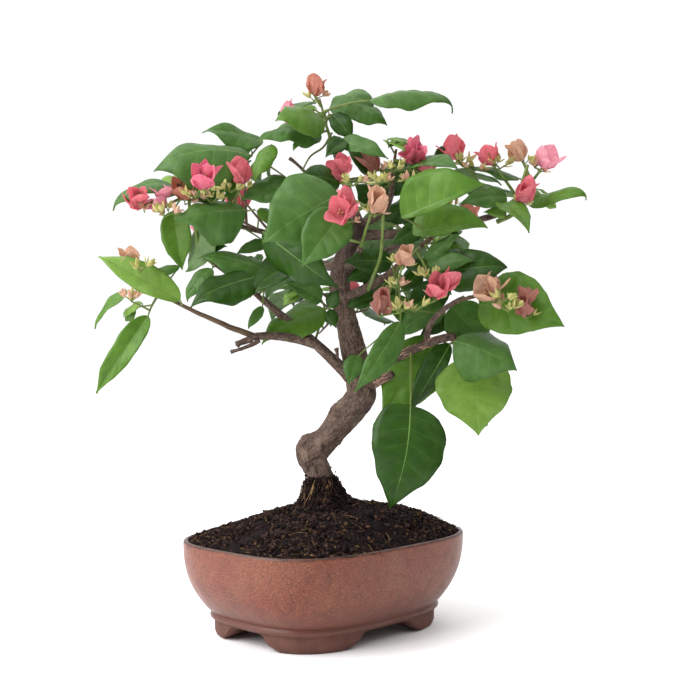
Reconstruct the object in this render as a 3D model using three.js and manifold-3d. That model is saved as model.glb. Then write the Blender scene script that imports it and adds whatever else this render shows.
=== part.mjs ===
// Bougainvillea bonsai: a twisted, leaning trunk with its boughs, leafy masses with papery bracts,
// and a mound of dark soil in a glazed pot that stands on four corner feet.
// Millimetres, +Z up. The pot's long side runs along X and its feet stand on z = 0.
import * as THREE from "three";
import { mergeVertices } from "three/addons/utils/BufferGeometryUtils.js";
import Module from "manifold-3d";

const wasm = await Module();
wasm.setup();

// Clearance between neighbouring solids
const GAP = 0.3;

// Pot
const POT_LENGTH = 200;
const POT_WIDTH = 154;
const POT_HEIGHT = 68;
const POT_SQUARENESS = 3.2;
const POT_WALL = 6;
const POT_FLOOR = 19;
const POT_TAPER = 0.188;
const POT_BULGE = 2.6;
const BELT_TOP = 17.5;
const BELT_BOTTOM = 12;
const BELT_SCALE = 0.805;
const FOOT_HEIGHT = 10.5;
const FOOT_SCALE = 0.785;
const FOOT_BASE_SCALE = 0.77;
const FOOT_DEPTH = 15;
const ARCH_LONG_BASE = 88;
const ARCH_LONG_TOP = 50;
const ARCH_SHORT_BASE = 64;
const ARCH_SHORT_TOP = 34;
const POT_SIDES = 32;

// Soil
const SOIL_EDGE_DROP = 1;
const SOIL_DOME = 21;
const SOIL_DOME_POWER = 1.9;
const SOIL_COLLAR_REACH = 5;
const TRUNK_FOOT_HEIGHT = 112;
const TRUNK_FOOT_SEAT = 10.2;

// Tree: x to the right of its front, y away from the front, z up; the front faces a corner of the pot
const TREE_TURN = THREE.MathUtils.degToRad(-46.6);
const TRUNK_SIDES = 12;
const BOUGH_SIDES = 6;
const BARK_RIDGE = 0.05;

// Each bend of the trunk: x, y, z, radius
const TRUNK_BENDS = {
  flare: [-4, 0, TRUNK_FOOT_HEIGHT, 9.4],
  ankle: [-7, 0, 118, 9.5],
  knob: [-9, 0, 126, 10.9],
  shin: [-2, 0, 137, 9.9],
  knee: [21, -2, 164, 9.8],
  fork: [24, 0, 177, 9.4],
  waist: [17, 6, 212, 8.0],
  neck: [10, 8, 248, 7.1],
  crook: [15, 5, 268, 7.8],
  top: [23, 0, 291, 6.4],
};

// Boughs: parent, height or share where it leaves, tip, stand-off of its middle, radius at each end
const BOUGHS = {
  bough_left: { height: 178, tip: [-47, 8, 238], bow: [3, -9, 1], thick: 5.2, thin: 2.3 },
  bough_left_low: {
    on: "bough_left", share: 0.5, tip: [-55, -18, 208], bow: [0, 0, 2], thick: 3.3, thin: 2.5,
  },
  bough_right: { height: 174, tip: [91, -22, 211], bow: [3, -3, 7], thick: 5.6, thin: 2.9 },
  bough_right_up: {
    on: "bough_right", share: 0.74, tip: [97, -30, 238], bow: [-7, -1, 2], thick: 3.0, thin: 1.9,
  },
  bough_mid: { height: 234, tip: [46, -15, 256], bow: [1, -4, -1], thick: 3.6, thin: 2.5 },
  bough_front: { height: 258, tip: [24, -44, 272], bow: [2, 0, -3], thick: 3.2, thin: 2.2 },
  bough_upper_right: { height: 281, tip: [122, 0, 298], bow: [0, 3, -4], thick: 3.7, thin: 2.0 },
  bough_upper_left: { height: 276, tip: [-61, -10, 289], bow: [0, 4, -4], thick: 3.5, thin: 2.1 },
  bough_top: { height: 286, tip: [3, 8, 352], bow: [1, 2, 0], thick: 3.8, thin: 2.0 },
  bough_crown: { height: 284, tip: [47, -3, 318], bow: [6, 0, -4], thick: 3.1, thin: 1.9 },
  bough_back_left: { height: 256, tip: [-34, 50, 280], bow: [0, 2, -5], thick: 3.6, thin: 2.1 },
  bough_back_right: { height: 266, tip: [60, 50, 284], bow: [0, 3, -5], thick: 3.6, thin: 2.1 },
  bough_back_low: { height: 206, tip: [10, 54, 222], bow: [0, 0, -4], thick: 3.4, thin: 2.2 },
};

// Foliage: sizes of the growth that every mass shares
const STEM_RADIUS = 2.0;
const SHOOT_RADIUS = 1.4;
const TWIG_RADIUS = 1.1;
const STALK_RADIUS = 0.55;
const LEAF_BREADTH = 0.38;
const LEAF_FOLD = 0.22;
const LEAF_ARCH = 0.07;
const LEAF_THICKNESS = 1.0;
const LEAF_STALK = 0.2;
const LEAF_CLEAR = 4.2;
const LEAF_TRIES = 10;
const LEAVES_A_SHOOT = 4;
const LIMB_CLEAR = 2;
const BRACT_LENGTH = 18;
const BRACT_THICKNESS = 0.8;
const GOLDEN_TURN = 2.4;
const STEM_STEPS = 12;
const STEM_BOW = 0.06;
const SHOOT_BOW = 0.12;
const SHOOT_STEPS = 4;
const CROWN_AXIS = new THREE.Vector3(12, 5, 0);
const UP = new THREE.Vector3(0, 0, 1);
const LIGHT = new THREE.Vector3(0, -0.6, 0.75);

// Masses: bough, stem tip, middle and half-sizes of the space kept to, seed, side shoots, leaf length,
// droop, leading leaves as blade base, blade tip and roll, and blooms as place and size
const MASSES = {
  mass_top: {
    bough: "bough_top", tip: [-4, 2, 378], middle: [8, 0, 364], half: [86, 60, 42],
    seed: 146, shoots: 3, leaf: [36, 54], pitch: -0.15,
    leading: [
      [[26, -5, 374], [90, 3, 381], -0.6],
      [[6, -10, 363], [-34, -25, 364], 0.3],
      [[10, 5, 369], [31, 35, 393], 0],
      [[9, -10, 354], [44, -25, 341], -0.2],
      [[-3, 0, 358], [-46, -20, 346], 0.3],
    ],
    blooms: [[-8, 0, 388, 1], [-30, 5, 374, 1]],
  },
  mass_upper_left: {
    bough: "bough_upper_left", tip: [-104, -22, 318], middle: [-92, -18, 312], half: [70, 60, 60],
    seed: 156, shoots: 2, leaf: [40, 60], pitch: -0.25,
    leading: [
      [[-47, 10, 351], [-88, 0, 359], 0.5],
      [[-54, -10, 347], [-118, -20, 334], 0.3],
      [[-106, -20, 319], [-149, -25, 302], 0.6],
      [[-56, -30, 296], [-103, -48, 288], 0],
      [[-78, -20, 287], [-110, -22, 262], 0.2],
      [[-44, -18, 344], [-50, -30, 312], 0.3],
    ],
    blooms: [[-84, -25, 324, 2], [-56, -15, 329, 1], [-119, -30, 307, 2], [-133, -28, 303, 1]],
  },
  mass_far_left: {
    bough: "bough_left_low", tip: [-122, -22, 244], middle: [-126, -22, 232], half: [46, 48, 68],
    seed: 47, shoots: 2, leaf: [36, 50], pitch: -0.4,
    leading: [
      [[-125, -28, 222], [-159, -30, 171], -0.1],
      [[-101, -25, 236], [-156, -20, 264], 0.3],
      [[-137, -15, 247], [-165, -10, 218], 0.8],
    ],
    blooms: [[-135, -20, 268, 1]],
  },
  mass_left: {
    bough: "bough_left", tip: [-80, -8, 262], middle: [-50, -10, 246], half: [74, 64, 56],
    seed: 213, shoots: 2, leaf: [42, 62], pitch: -0.3,
    leading: [
      [[-46, -32, 252], [-90, -54, 236], 0.3],
      [[-29, -10, 269], [-88, -25, 266], 0.4],
      [[-14, -16, 262], [-52, -40, 238], 0.1],
      [[-3, 18, 228], [-46, 26, 206], 0.2],
    ],
    blooms: [],
  },
  mass_front: {
    bough: "bough_front", tip: [20, -84, 304], middle: [4, -66, 288], half: [74, 56, 66],
    seed: 691, shoots: 4, leaf: [42, 62], pitch: -0.4,
    leading: [
      [[4, -72, 304], [-44, -92, 284], 0],
      [[12, -85, 296], [-14, -97, 253], 0.1],
      [[8, -62, 276], [-30, -76, 244], 0.1],
    ],
    blooms: [[15, -95, 296, 3], [33, -90, 297, 1]],
  },
  mass_crown: {
    bough: "bough_crown", tip: [50, -8, 344], middle: [44, -4, 334], half: [64, 60, 52],
    seed: 249, shoots: 3, leaf: [38, 56], pitch: -0.2,
    leading: [
      [[30, -16, 322], [-8, -42, 318], 0],
      [[56, -12, 330], [92, -40, 326], -0.2],
    ],
    blooms: [[11, -20, 328, 2], [37, 0, 341, 1], [60, -15, 342, 3]],
  },
  mass_mid: {
    bough: "bough_mid", tip: [78, -48, 284], middle: [74, -42, 262], half: [68, 58, 70],
    seed: 339, shoots: 4, leaf: [42, 62], pitch: -0.3,
    leading: [
      [[52, -55, 296], [104, -70, 312], -0.1],
      [[60, -45, 283], [112, -50, 299], -0.5],
      [[80, -46, 250], [121, -54, 263], -0.2],
      [[53, -35, 217], [20, -48, 172], 0],
      [[56, -34, 264], [92, -58, 236], -0.1],
    ],
    blooms: [[50, -70, 264, 1], [38, -50, 234, 1], [75, -66, 240, 2]],
  },
  mass_upper_right: {
    bough: "bough_upper_right", tip: [150, 0, 322], middle: [136, 0, 318], half: [58, 58, 48],
    seed: 616, shoots: 3, leaf: [38, 54], pitch: -0.2,
    leading: [
      [[141, 0, 309], [182, -5, 313], -0.5],
      [[140, 8, 325], [98, 4, 331], 0.3],
      [[126, -10, 306], [140, -44, 282], -0.1],
    ],
    blooms: [[91, 0, 346, 1], [118, 0, 342, 2], [140, 5, 346, 1], [160, 0, 340, 1], [139, -15, 317, 2]],
  },
  mass_right: {
    bough: "bough_right_up", tip: [132, -44, 244], middle: [120, -36, 240], half: [66, 60, 50],
    seed: 266, shoots: 3, leaf: [42, 60], pitch: -0.4,
    leading: [
      [[118, -32, 237], [160, -62, 217], 0],
      [[102, -16, 231], [124, -24, 204], 0],
      [[84, -6, 232], [50, -2, 210], 0.1],
    ],
    blooms: [[111, -64, 236, 3], [136, -62, 230, 2]],
  },
  mass_lower_right: {
    bough: "bough_right", tip: [106, -34, 200], middle: [86, -30, 178], half: [62, 58, 60],
    seed: 487, shoots: 3, leaf: [44, 62], pitch: -0.9,
    leading: [
      [[95, -8, 191], [105, -58, 147], 0],
      [[88, -42, 200], [130, -52, 183], -0.2],
      [[57, -45, 165], [45, -50, 94], -0.2],
      [[86, -32, 194], [60, -10, 154], 0],
    ],
    blooms: [],
  },
  mass_back_left: {
    bough: "bough_back_left", tip: [-72, 84, 302], middle: [-58, 76, 296], half: [76, 68, 70],
    seed: 383, shoots: 5, leaf: [42, 60], pitch: -0.35, leading: [],
    blooms: [[-70, 110, 322, 2], [-96, 90, 300, 1]],
  },
  mass_back_right: {
    bough: "bough_back_right", tip: [92, 84, 302], middle: [84, 76, 294], half: [76, 68, 70],
    seed: 734, shoots: 5, leaf: [42, 60], pitch: -0.35, leading: [],
    blooms: [[96, 110, 324, 2], [120, 92, 296, 1]],
  },
  mass_back_low: {
    bough: "bough_back_low", tip: [6, 90, 236], middle: [8, 92, 236], half: [70, 60, 56],
    seed: 218, shoots: 6, leaf: [42, 58], pitch: -0.45, leading: [],
    blooms: [[20, 126, 250, 1]],
  },
};

// Colours
const COLOURS = {
  pot: [0x9c6152, 0.35],
  soil: [0x2d2123, 0.95],
  wood: [0x67513f, 0.85],
  foliage: [0x54793f, 0.55],
};

function vector(list) {
  return new THREE.Vector3(list[0], list[1], list[2]);
}

// A closed skin over rings of equal count; a ring of one point makes a pointed end
function loft(rings) {
  const points = [];
  const starts = [];
  for (const ring of rings) {
    starts.push(points.length);
    points.push(...ring);
  }
  const sides = Math.max(...rings.map((ring) => ring.length));
  const faces = [];
  for (let step = 0; step + 1 < rings.length; step += 1) {
    for (let side = 0; side < sides; side += 1) {
      const next = (side + 1) % sides;
      const lower = rings[step].length === 1 ? [0, 0] : [side, next];
      const upper = rings[step + 1].length === 1 ? [0, 0] : [side, next];
      const corners = [...lower.map((i) => starts[step] + i), ...upper.map((i) => starts[step + 1] + i)];
      if (lower[0] !== lower[1]) faces.push(corners[0], corners[1], corners[3]);
      if (upper[0] !== upper[1]) faces.push(corners[0], corners[3], corners[2]);
    }
  }
  const last = starts[rings.length - 1];
  for (let side = 1; side + 1 < rings[0].length; side += 1) faces.push(0, side + 1, side);
  for (let i = last + 1; i + 1 < points.length; i += 1) faces.push(last, i, i + 1);
  const geometry = new THREE.BufferGeometry().setFromPoints(points);
  geometry.setIndex(faces);
  return geometry;
}

// Solid from a closed geometry, its faces turned outward
function solid(geometry) {
  const source = geometry.index ? geometry : mergedCopy(geometry);
  const place = source.getAttribute("position").array;
  const faces = Uint32Array.from(source.index.array);
  let volume = 0;
  for (let i = 0; i < faces.length; i += 3) {
    const corners = Array.from(faces.slice(i, i + 3));
    const [a, b, c] = corners.map((corner) => new THREE.Vector3().fromArray(place, 3 * corner));
    volume += a.dot(b.cross(c));
  }
  if (volume < 0) faces.reverse();
  const mesh = new wasm.Mesh({ numProp: 3, vertProperties: Float32Array.from(place), triVerts: faces });
  return new wasm.Manifold(mesh);
}

function mergedCopy(geometry) {
  const bare = geometry.clone();
  bare.deleteAttribute("normal");
  bare.deleteAttribute("uv");
  return mergeVertices(bare, 1e-4);
}

// The body that holds the most, with sealed hollows filled and loose scraps dropped
function largestBody(body) {
  const pieces = body.simplify(0.06).decompose();
  return pieces.reduce((best, piece) => (piece.volume() > best.volume() ? piece : best));
}

function meshOf(name, body, colour) {
  const data = body.getMesh();
  const geometry = new THREE.BufferGeometry();
  geometry.setAttribute("position", new THREE.BufferAttribute(new Float32Array(data.vertProperties), 3));
  geometry.setIndex(new THREE.BufferAttribute(new Uint32Array(data.triVerts), 1));
  geometry.computeVertexNormals();
  const [shade, roughness] = COLOURS[colour];
  const material = new THREE.MeshStandardMaterial({ color: shade, roughness, metalness: 0 });
  material.name = colour;
  const mesh = new THREE.Mesh(geometry, material);
  mesh.name = name;
  return mesh;
}

// Pot outline at a height: the rim's superellipse scaled, then moved in by an inset
function potRing(scale, inset, height) {
  const power = 2 / POT_SQUARENESS;
  const ring = [];
  for (let side = 0; side < POT_SIDES; side += 1) {
    const angle = (2 * Math.PI * side) / POT_SIDES;
    const x = Math.sign(Math.cos(angle)) * Math.abs(Math.cos(angle)) ** power;
    const y = Math.sign(Math.sin(angle)) * Math.abs(Math.sin(angle)) ** power;
    const halfLength = (scale * POT_LENGTH) / 2 - inset;
    const halfWidth = (scale * POT_WIDTH) / 2 - inset;
    ring.push(new THREE.Vector3(x * halfLength, y * halfWidth, height));
  }
  return ring;
}

function wallScale(height) {
  const depth = (POT_HEIGHT - height) / (POT_HEIGHT - BELT_TOP);
  return 1 - POT_TAPER * depth ** POT_BULGE;
}

// Inside of the pot, shared by its hollow and by the soil that fills it
function insideRings(clearance) {
  const levels = [
    [POT_FLOOR + clearance, POT_WALL + 9],
    [POT_FLOOR + 8, POT_WALL + 1],
    [POT_FLOOR + 24, POT_WALL],
    [POT_HEIGHT - SOIL_EDGE_DROP, POT_WALL],
  ];
  return levels.map(([height, inset]) => potRing(wallScale(height), inset + 1.5 * clearance, height));
}

// Cut-out between two feet: an arch with hollowed shoulders, run right across the pot
function footArch(base, top, across) {
  const shape = new THREE.Shape();
  shape.moveTo(-base / 2, -1);
  shape.lineTo(base / 2, -1);
  shape.quadraticCurveTo(top / 2 + 2, FOOT_HEIGHT * 0.25, top / 2, FOOT_HEIGHT * 0.8);
  shape.lineTo(top / 2 - 5, FOOT_HEIGHT);
  shape.lineTo(5 - top / 2, FOOT_HEIGHT);
  shape.lineTo(-top / 2, FOOT_HEIGHT * 0.8);
  shape.quadraticCurveTo(-top / 2 - 2, FOOT_HEIGHT * 0.25, -base / 2, -1);
  const settings = { depth: across, bevelEnabled: false, curveSegments: 4 };
  const geometry = new THREE.ExtrudeGeometry(shape, settings);
  geometry.translate(0, 0, -across / 2);
  geometry.rotateX(Math.PI / 2);
  return geometry;
}

function makePot() {
  const outside = [
    potRing(FOOT_BASE_SCALE, 0, 0),
    potRing(FOOT_SCALE, 0, 4),
    potRing(FOOT_SCALE, 0, FOOT_HEIGHT),
    potRing(BELT_SCALE, 0, BELT_BOTTOM),
    potRing(BELT_SCALE + 0.012, 0, (BELT_BOTTOM + BELT_TOP) / 2),
    potRing(BELT_SCALE, 0, BELT_TOP - 0.8),
    potRing(BELT_SCALE + 0.012, 0, BELT_TOP + 0.8),
  ];
  for (const height of [24, 32, 41, 51, 61]) outside.push(potRing(wallScale(height), 0, height));
  outside.push(potRing(1, 0, POT_HEIGHT - 1.5), potRing(1, 1.2, POT_HEIGHT));
  const hollow = insideRings(0);
  hollow.push(potRing(1, POT_WALL - 0.8, POT_HEIGHT + 1));
  const underside = [
    potRing(FOOT_BASE_SCALE, FOOT_DEPTH, -1),
    potRing(FOOT_BASE_SCALE, FOOT_DEPTH + 2, FOOT_HEIGHT),
  ];
  const archLong = solid(footArch(ARCH_LONG_BASE, ARCH_LONG_TOP, 2 * POT_WIDTH));
  const archShort = solid(footArch(ARCH_SHORT_BASE, ARCH_SHORT_TOP, 2 * POT_LENGTH).rotateZ(Math.PI / 2));
  let body = solid(loft(outside)).subtract(solid(loft(hollow)));
  body = body.subtract(solid(loft(underside))).subtract(archLong).subtract(archShort);
  return largestBody(body);
}

// Soil: fills the pot, domes up toward the trunk and rises in a steep collar to the trunk's flat seat
function makeSoil(seat) {
  const rings = insideRings(GAP);
  const edge = rings[rings.length - 1];
  const edgeHeight = edge[0].z;
  const collar = TRUNK_FOOT_HEIGHT - GAP - edgeHeight - SOIL_DOME;
  for (const share of [0.1, 0.28, 0.48, 0.66, 0.78, 0.86, 0.93, 1]) {
    const ring = edge.map((point, side) => {
      const angle = (2 * Math.PI * side) / POT_SIDES;
      const rest = new THREE.Vector3(Math.cos(angle), Math.sin(angle), 0);
      const place = point.clone().lerp(rest.multiplyScalar(TRUNK_FOOT_SEAT).add(seat), share);
      const stand = Math.max(0, Math.hypot(place.x - seat.x, place.y - seat.y) - TRUNK_FOOT_SEAT);
      const dome = SOIL_DOME * (1 - (1 - share) ** SOIL_DOME_POWER);
      place.z = edgeHeight + dome + collar * Math.exp(-((stand / SOIL_COLLAR_REACH) ** 1.3));
      return place;
    });
    rings.push(ring);
  }
  return largestBody(solid(loft(rings)));
}

// Rings around a path; each keeps the last ring's side direction, so the skin doesn't twist.
// A given first direction sets the first ring, and the next rings settle from it to the path's own.
function limbRings(path, radii, sides, swell, { ridge = 0, first = null, settle = 1 }) {
  let across = new THREE.Vector3(0, 1, 0);
  return path.map((point, step) => {
    const along = directionAt(path, step);
    if (first) along.lerp(first, Math.max(0, 1 - step / settle)).normalize();
    across = across.clone().addScaledVector(along, -across.dot(along)).normalize();
    const other = along.clone().cross(across);
    const ring = [];
    for (let side = 0; side < sides; side += 1) {
      const angle = (2 * Math.PI * side) / sides;
      const uneven = ridge * (Math.cos(3 * angle + 0.35 * step) + 0.6 * Math.cos(5 * angle - 0.5 * step));
      const radius = radii[step] * (1 + uneven) + swell;
      const turned = across.clone().multiplyScalar(Math.cos(angle)).addScaledVector(other, Math.sin(angle));
      ring.push(point.clone().addScaledVector(turned, radius));
    }
    return ring;
  });
}

function trunkLimb() {
  const bends = Object.values(TRUNK_BENDS);
  const curve = new THREE.CatmullRomCurve3(bends.map(vector), false, "catmullrom", 0.5);
  const steps = 27;
  const path = curve.getPoints(steps);
  const radii = path.map((point, step) => {
    const place = (step / steps) * (bends.length - 1);
    const bend = Math.min(Math.floor(place), bends.length - 2);
    return THREE.MathUtils.lerp(bends[bend][3], bends[bend + 1][3], place - bend);
  });
  return { path, radii, sides: TRUNK_SIDES, ridge: BARK_RIDGE, first: UP, settle: 5 };
}

function boughLimb(plan, parent) {
  const byShare = Math.round((plan.share ?? 0) * (parent.path.length - 1));
  const byHeight = parent.path.findIndex((point) => point.z >= plan.height);
  const start = parent.path[plan.on ? byShare : byHeight].clone();
  const tip = vector(plan.tip);
  const control = start.clone().lerp(tip, 0.5).addScaledVector(vector(plan.bow), 2);
  const steps = 6;
  const path = new THREE.QuadraticBezierCurve3(start, control, tip).getPoints(steps);
  const radii = path.map((point, place) => THREE.MathUtils.lerp(plan.thick, plan.thin, place / steps));
  return { path, radii, sides: BOUGH_SIDES };
}

function makeLimbs() {
  const limbs = { trunk: trunkLimb() };
  for (const [name, plan] of Object.entries(BOUGHS)) {
    limbs[name] = boughLimb(plan, limbs[plan.on ?? "trunk"]);
  }
  const kept = [];
  for (const limb of Object.values(limbs)) {
    limb.body = solid(loft(limbRings(limb.path, limb.radii, limb.sides, 0, limb)));
    for (const other of kept) limb.body = limb.body.subtract(other);
    limb.body = largestBody(limb.body);
    kept.push(solid(loft(limbRings(limb.path, limb.radii, limb.sides, 1.3 * GAP, limb))));
  }
  return limbs;
}

// A repeatable run of draws between two limits
function seededDraw(seed) {
  let state = (seed * 104729) % 2147483647;
  return (low, high) => {
    state = (state * 48271) % 2147483647;
    return low + ((high - low) * state) / 2147483647;
  };
}

// A shoot that leaves in one direction and bends round to its end in a few straight spans.
// Its path has several points a span, where leaves and side shoots may sit.
function makeShoot(start, leaving, end, bow, spans, parts, thick, thin, sides) {
  const bend = start.clone().lerp(end, 0.5).addScaledVector(leaving, bow * start.distanceTo(end));
  const corners = new THREE.QuadraticBezierCurve3(start, bend, end).getPoints(spans);
  const path = [];
  for (let step = 0; step <= spans * parts; step += 1) {
    const span = Math.min(Math.floor(step / parts), spans - 1);
    path.push(corners[span].clone().lerp(corners[span + 1], step / parts - span));
  }
  return { path, corners, thick, thin, sides };
}

function directionAt(path, step) {
  const ahead = path[Math.min(step + 1, path.length - 1)];
  const behind = path[Math.max(step - 1, 0)];
  return ahead.clone().sub(behind).normalize();
}

// A direction square to the given one, turned about it from level
function radialTo(along, turn) {
  const level = new THREE.Vector3(-along.y, along.x, 0);
  if (level.length() < 0.05) level.set(1, 0, 0);
  level.addScaledVector(along, -level.dot(along)).normalize();
  return level.applyAxisAngle(along, turn);
}

function makeLeaf(root, base, tip, roll) {
  const along = tip.clone().sub(base).normalize();
  const outward = base.clone().sub(CROWN_AXIS).setZ(0).normalize();
  const face = outward.multiplyScalar(0.6).add(LIGHT);
  face.addScaledVector(along, -face.dot(along)).normalize().applyAxisAngle(along, roll);
  const side = along.clone().cross(face);
  return { root, base, along, face, side, length: base.distanceTo(tip) };
}

// Half-breadth of a blade: rounded at the base, widest at a third, drawn out to a point
function bladeOutline(share) {
  return 2.7 * share ** 0.5 * (1 - share) ** 1.1;
}

function bladePoint(leaf, share, across, lift) {
  const half = LEAF_BREADTH * leaf.length * bladeOutline(share);
  const arch = 4 * LEAF_ARCH * leaf.length * share * (1 - share);
  const fold = LEAF_FOLD * Math.abs(across) * half;
  const point = leaf.base.clone().addScaledVector(leaf.along, leaf.length * share);
  return point.addScaledVector(leaf.side, across * half).addScaledVector(leaf.face, arch + fold + lift);
}

function bladeSamples(leaf) {
  const samples = [];
  for (const share of [0.08, 0.26, 0.46, 0.68, 0.94]) {
    for (const across of [-0.95, -0.5, 0, 0.5, 0.95]) samples.push(bladePoint(leaf, share, across, 0));
  }
  return samples;
}

function insideSpace(plan, point) {
  const offset = point.clone().sub(vector(plan.middle)).divide(vector(plan.half));
  return offset.length() < 1;
}

function clearOf(points, others, clearance) {
  const clear = (point, other) => point.distanceTo(other.point) > other.radius + clearance;
  return points.every((point) => others.every((other) => clear(point, other)));
}

// Stem, leading shoots and bloom stalks of a mass
function growSkeleton(plan, limbs) {
  const bough = limbs[plan.bough].path;
  const heading = bough[bough.length - 1].clone().sub(bough[bough.length - 2]).normalize();
  const start = bough[bough.length - 1].clone().addScaledVector(heading, GAP);
  const tip = vector(plan.tip);
  const stem = makeShoot(start, heading, tip, STEM_BOW, 4, STEM_STEPS / 4, STEM_RADIUS, SHOOT_RADIUS, 4);
  stem.first = heading;
  stem.joints = new Set([0, STEM_STEPS]);
  const mass = { plan, draw: seededDraw(plan.seed), shoots: [stem] };
  Object.assign(mass, { leading: [], blooms: [], leaves: [], flowers: [] });
  for (const [base, point, roll] of plan.leading) {
    const shoot = branchTo(stem, vector(base));
    mass.shoots.push(shoot);
    mass.leading.push({ shoot, tip: vector(point), roll });
  }
  for (const bloom of plan.blooms) {
    const shoot = branchTo(stem, vector(bloom).addScaledVector(UP, -0.5 * BRACT_LENGTH));
    mass.shoots.push(shoot);
    mass.blooms.push({ shoot, size: bloom[3] });
  }
  return mass;
}

// The free joint of a stem nearest to a place, which is then taken
function takeJoint(stem, place) {
  let best = STEM_STEPS - 1;
  let nearest = Infinity;
  for (let step = 1; step < STEM_STEPS; step += 1) {
    const distance = stem.path[step].distanceTo(place);
    if (stem.joints.has(step) || distance >= nearest) continue;
    best = step;
    nearest = distance;
  }
  stem.joints.add(best);
  return best;
}

// A shoot from a free joint of the stem to a given end
function branchTo(stem, end) {
  const joint = takeJoint(stem, end);
  const start = stem.path[joint];
  const leaving = directionAt(stem.path, joint).multiplyScalar(0.4);
  leaving.addScaledVector(end.clone().sub(start).normalize(), 0.6).addScaledVector(UP, 0.25).normalize();
  return sideShoot(start, leaving, end);
}

function sideShoot(start, leaving, end) {
  return makeShoot(start, leaving, end, SHOOT_BOW, 2, SHOOT_STEPS / 2, SHOOT_RADIUS, TWIG_RADIUS, 3);
}

// A leaf on a shoot: its stalk leaves to one side and its blade droops outward
function sideLeaf(plan, shoot, step, turn, draw) {
  const root = shoot.path[step];
  const along = directionAt(shoot.path, step);
  const length = draw(plan.leaf[0], plan.leaf[1]);
  const pitch = plan.pitch + draw(-0.4, 0.4);
  const stalk = radialTo(along, turn + draw(-0.8, 0.8)).multiplyScalar(0.7);
  stalk.addScaledVector(along, 0.6).addScaledVector(UP, 0.2).normalize();
  const outward = root.clone().sub(CROWN_AXIS).setZ(0).normalize();
  const heading = stalk.clone().setZ(0).addScaledVector(outward, 0.5).normalize();
  const blade = heading.multiplyScalar(Math.cos(pitch)).addScaledVector(UP, Math.sin(pitch));
  const base = root.clone().addScaledVector(stalk, LEAF_STALK * length);
  return makeLeaf(root, base, base.clone().addScaledVector(blade, length), draw(-0.5, 0.5));
}

// Alternate leaves along a shoot; each place has its own draws and a few tries to find room
function addSideLeaves(mass, shoot, count, crowd) {
  const first = mass.draw(0, Math.PI);
  for (let place = 0; place < count; place += 1) {
    const own = seededDraw(Math.floor(mass.draw(1, 1e6)));
    const share = 1 - (0.6 * place) / count;
    const step = Math.round((shoot.path.length - 1) * share);
    for (let tries = 0; tries < LEAF_TRIES; tries += 1) {
      const leaf = sideLeaf(mass.plan, shoot, step, first + Math.PI * place, own);
      if (keepLeaf(mass, leaf, crowd)) break;
    }
  }
}

function keepLeaf(mass, leaf, crowd) {
  const samples = bladeSamples(leaf);
  if (![0.5, 1].every((share) => insideSpace(mass.plan, bladePoint(leaf, share, 0, 0)))) return false;
  if (!clearOf(samples, crowd.limbs, LIMB_CLEAR)) return false;
  if (!clearOf(samples, crowd.leaves, 0)) return false;
  mass.leaves.push(leaf);
  crowd.leaves.push(...samples.map((point) => ({ point, radius: LEAF_CLEAR })));
  return true;
}

function addLeadingLeaves(mass, crowd) {
  for (const { shoot, tip, roll } of mass.leading) {
    const base = shoot.path[shoot.path.length - 1];
    const root = base.clone().lerp(shoot.path[shoot.path.length - 2], 0.3);
    const leaf = makeLeaf(root, base, tip, roll);
    mass.leaves.push(leaf);
    crowd.leaves.push(...bladeSamples(leaf).map((point) => ({ point, radius: LEAF_CLEAR })));
  }
}

function addFlowers(mass, crowd) {
  for (const { shoot, size } of mass.blooms) {
    const along = directionAt(shoot.path, shoot.path.length - 1);
    const root = shoot.path[shoot.path.length - 1].clone().addScaledVector(along, -2);
    const axis = along.clone().addScaledVector(UP, 0.3).normalize();
    const spin = mass.draw(0, 2);
    const length = BRACT_LENGTH * (0.85 + 0.15 * size) * mass.draw(0.95, 1.1);
    mass.flowers.push({ root, axis, spin, length });
    crowd.leaves.push({ point: root.clone().addScaledVector(axis, 0.6 * length), radius: 0.6 * length });
  }
}

function addSideShoots(mass, crowd) {
  const { plan, draw } = mass;
  const stem = mass.shoots[0];
  for (const { shoot } of mass.leading) addSideLeaves(mass, shoot, 1, crowd);
  for (let place = 0; place < plan.shoots; place += 1) {
    const turn = GOLDEN_TURN * place + draw(0, 1.2);
    const reach = draw(26, 46);
    const joint = takeJoint(stem, stem.path[Math.round((STEM_STEPS * (place + 0.6)) / plan.shoots)]);
    const start = stem.path[joint];
    const along = directionAt(stem.path, joint);
    const leaving = radialTo(along, turn).multiplyScalar(0.8).addScaledVector(along, 0.5).normalize();
    const end = start.clone().addScaledVector(leaving, reach).addScaledVector(UP, 0.12 * reach);
    const shoot = sideShoot(start, leaving, end);
    const free = shoot.path.slice(1);
    if (!clearOf(free, crowd.limbs, 0) || !clearOf(free, crowd.leaves, -2.5)) continue;
    const before = mass.leaves.length;
    addSideLeaves(mass, shoot, LEAVES_A_SHOOT, crowd);
    if (mass.leaves.length > before) mass.shoots.push(shoot);
  }
  addSideLeaves(mass, stem, LEAVES_A_SHOOT, crowd);
}

function growMasses(limbs) {
  const crowd = { limbs: [], leaves: [] };
  for (const limb of Object.values(limbs)) {
    const curve = new THREE.CatmullRomCurve3(limb.path, false, "catmullrom", 0.5);
    const count = 3 * limb.path.length;
    for (let step = 0; step <= count; step += 1) {
      const ring = Math.min(Math.floor((step / count) * limb.path.length), limb.path.length - 1);
      crowd.limbs.push({ point: curve.getPoint(step / count), radius: limb.radii[ring] });
    }
  }
  const masses = Object.entries(MASSES).map(([name, plan]) => ({ name, ...growSkeleton(plan, limbs) }));
  for (const mass of masses) {
    const joints = mass.shoots.flatMap((shoot) => shoot.path);
    crowd.limbs.push(...joints.map((point) => ({ point, radius: SHOOT_RADIUS })));
    addLeadingLeaves(mass, crowd);
    addFlowers(mass, crowd);
  }
  for (const mass of masses) addSideShoots(mass, crowd);
  return masses;
}

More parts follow.
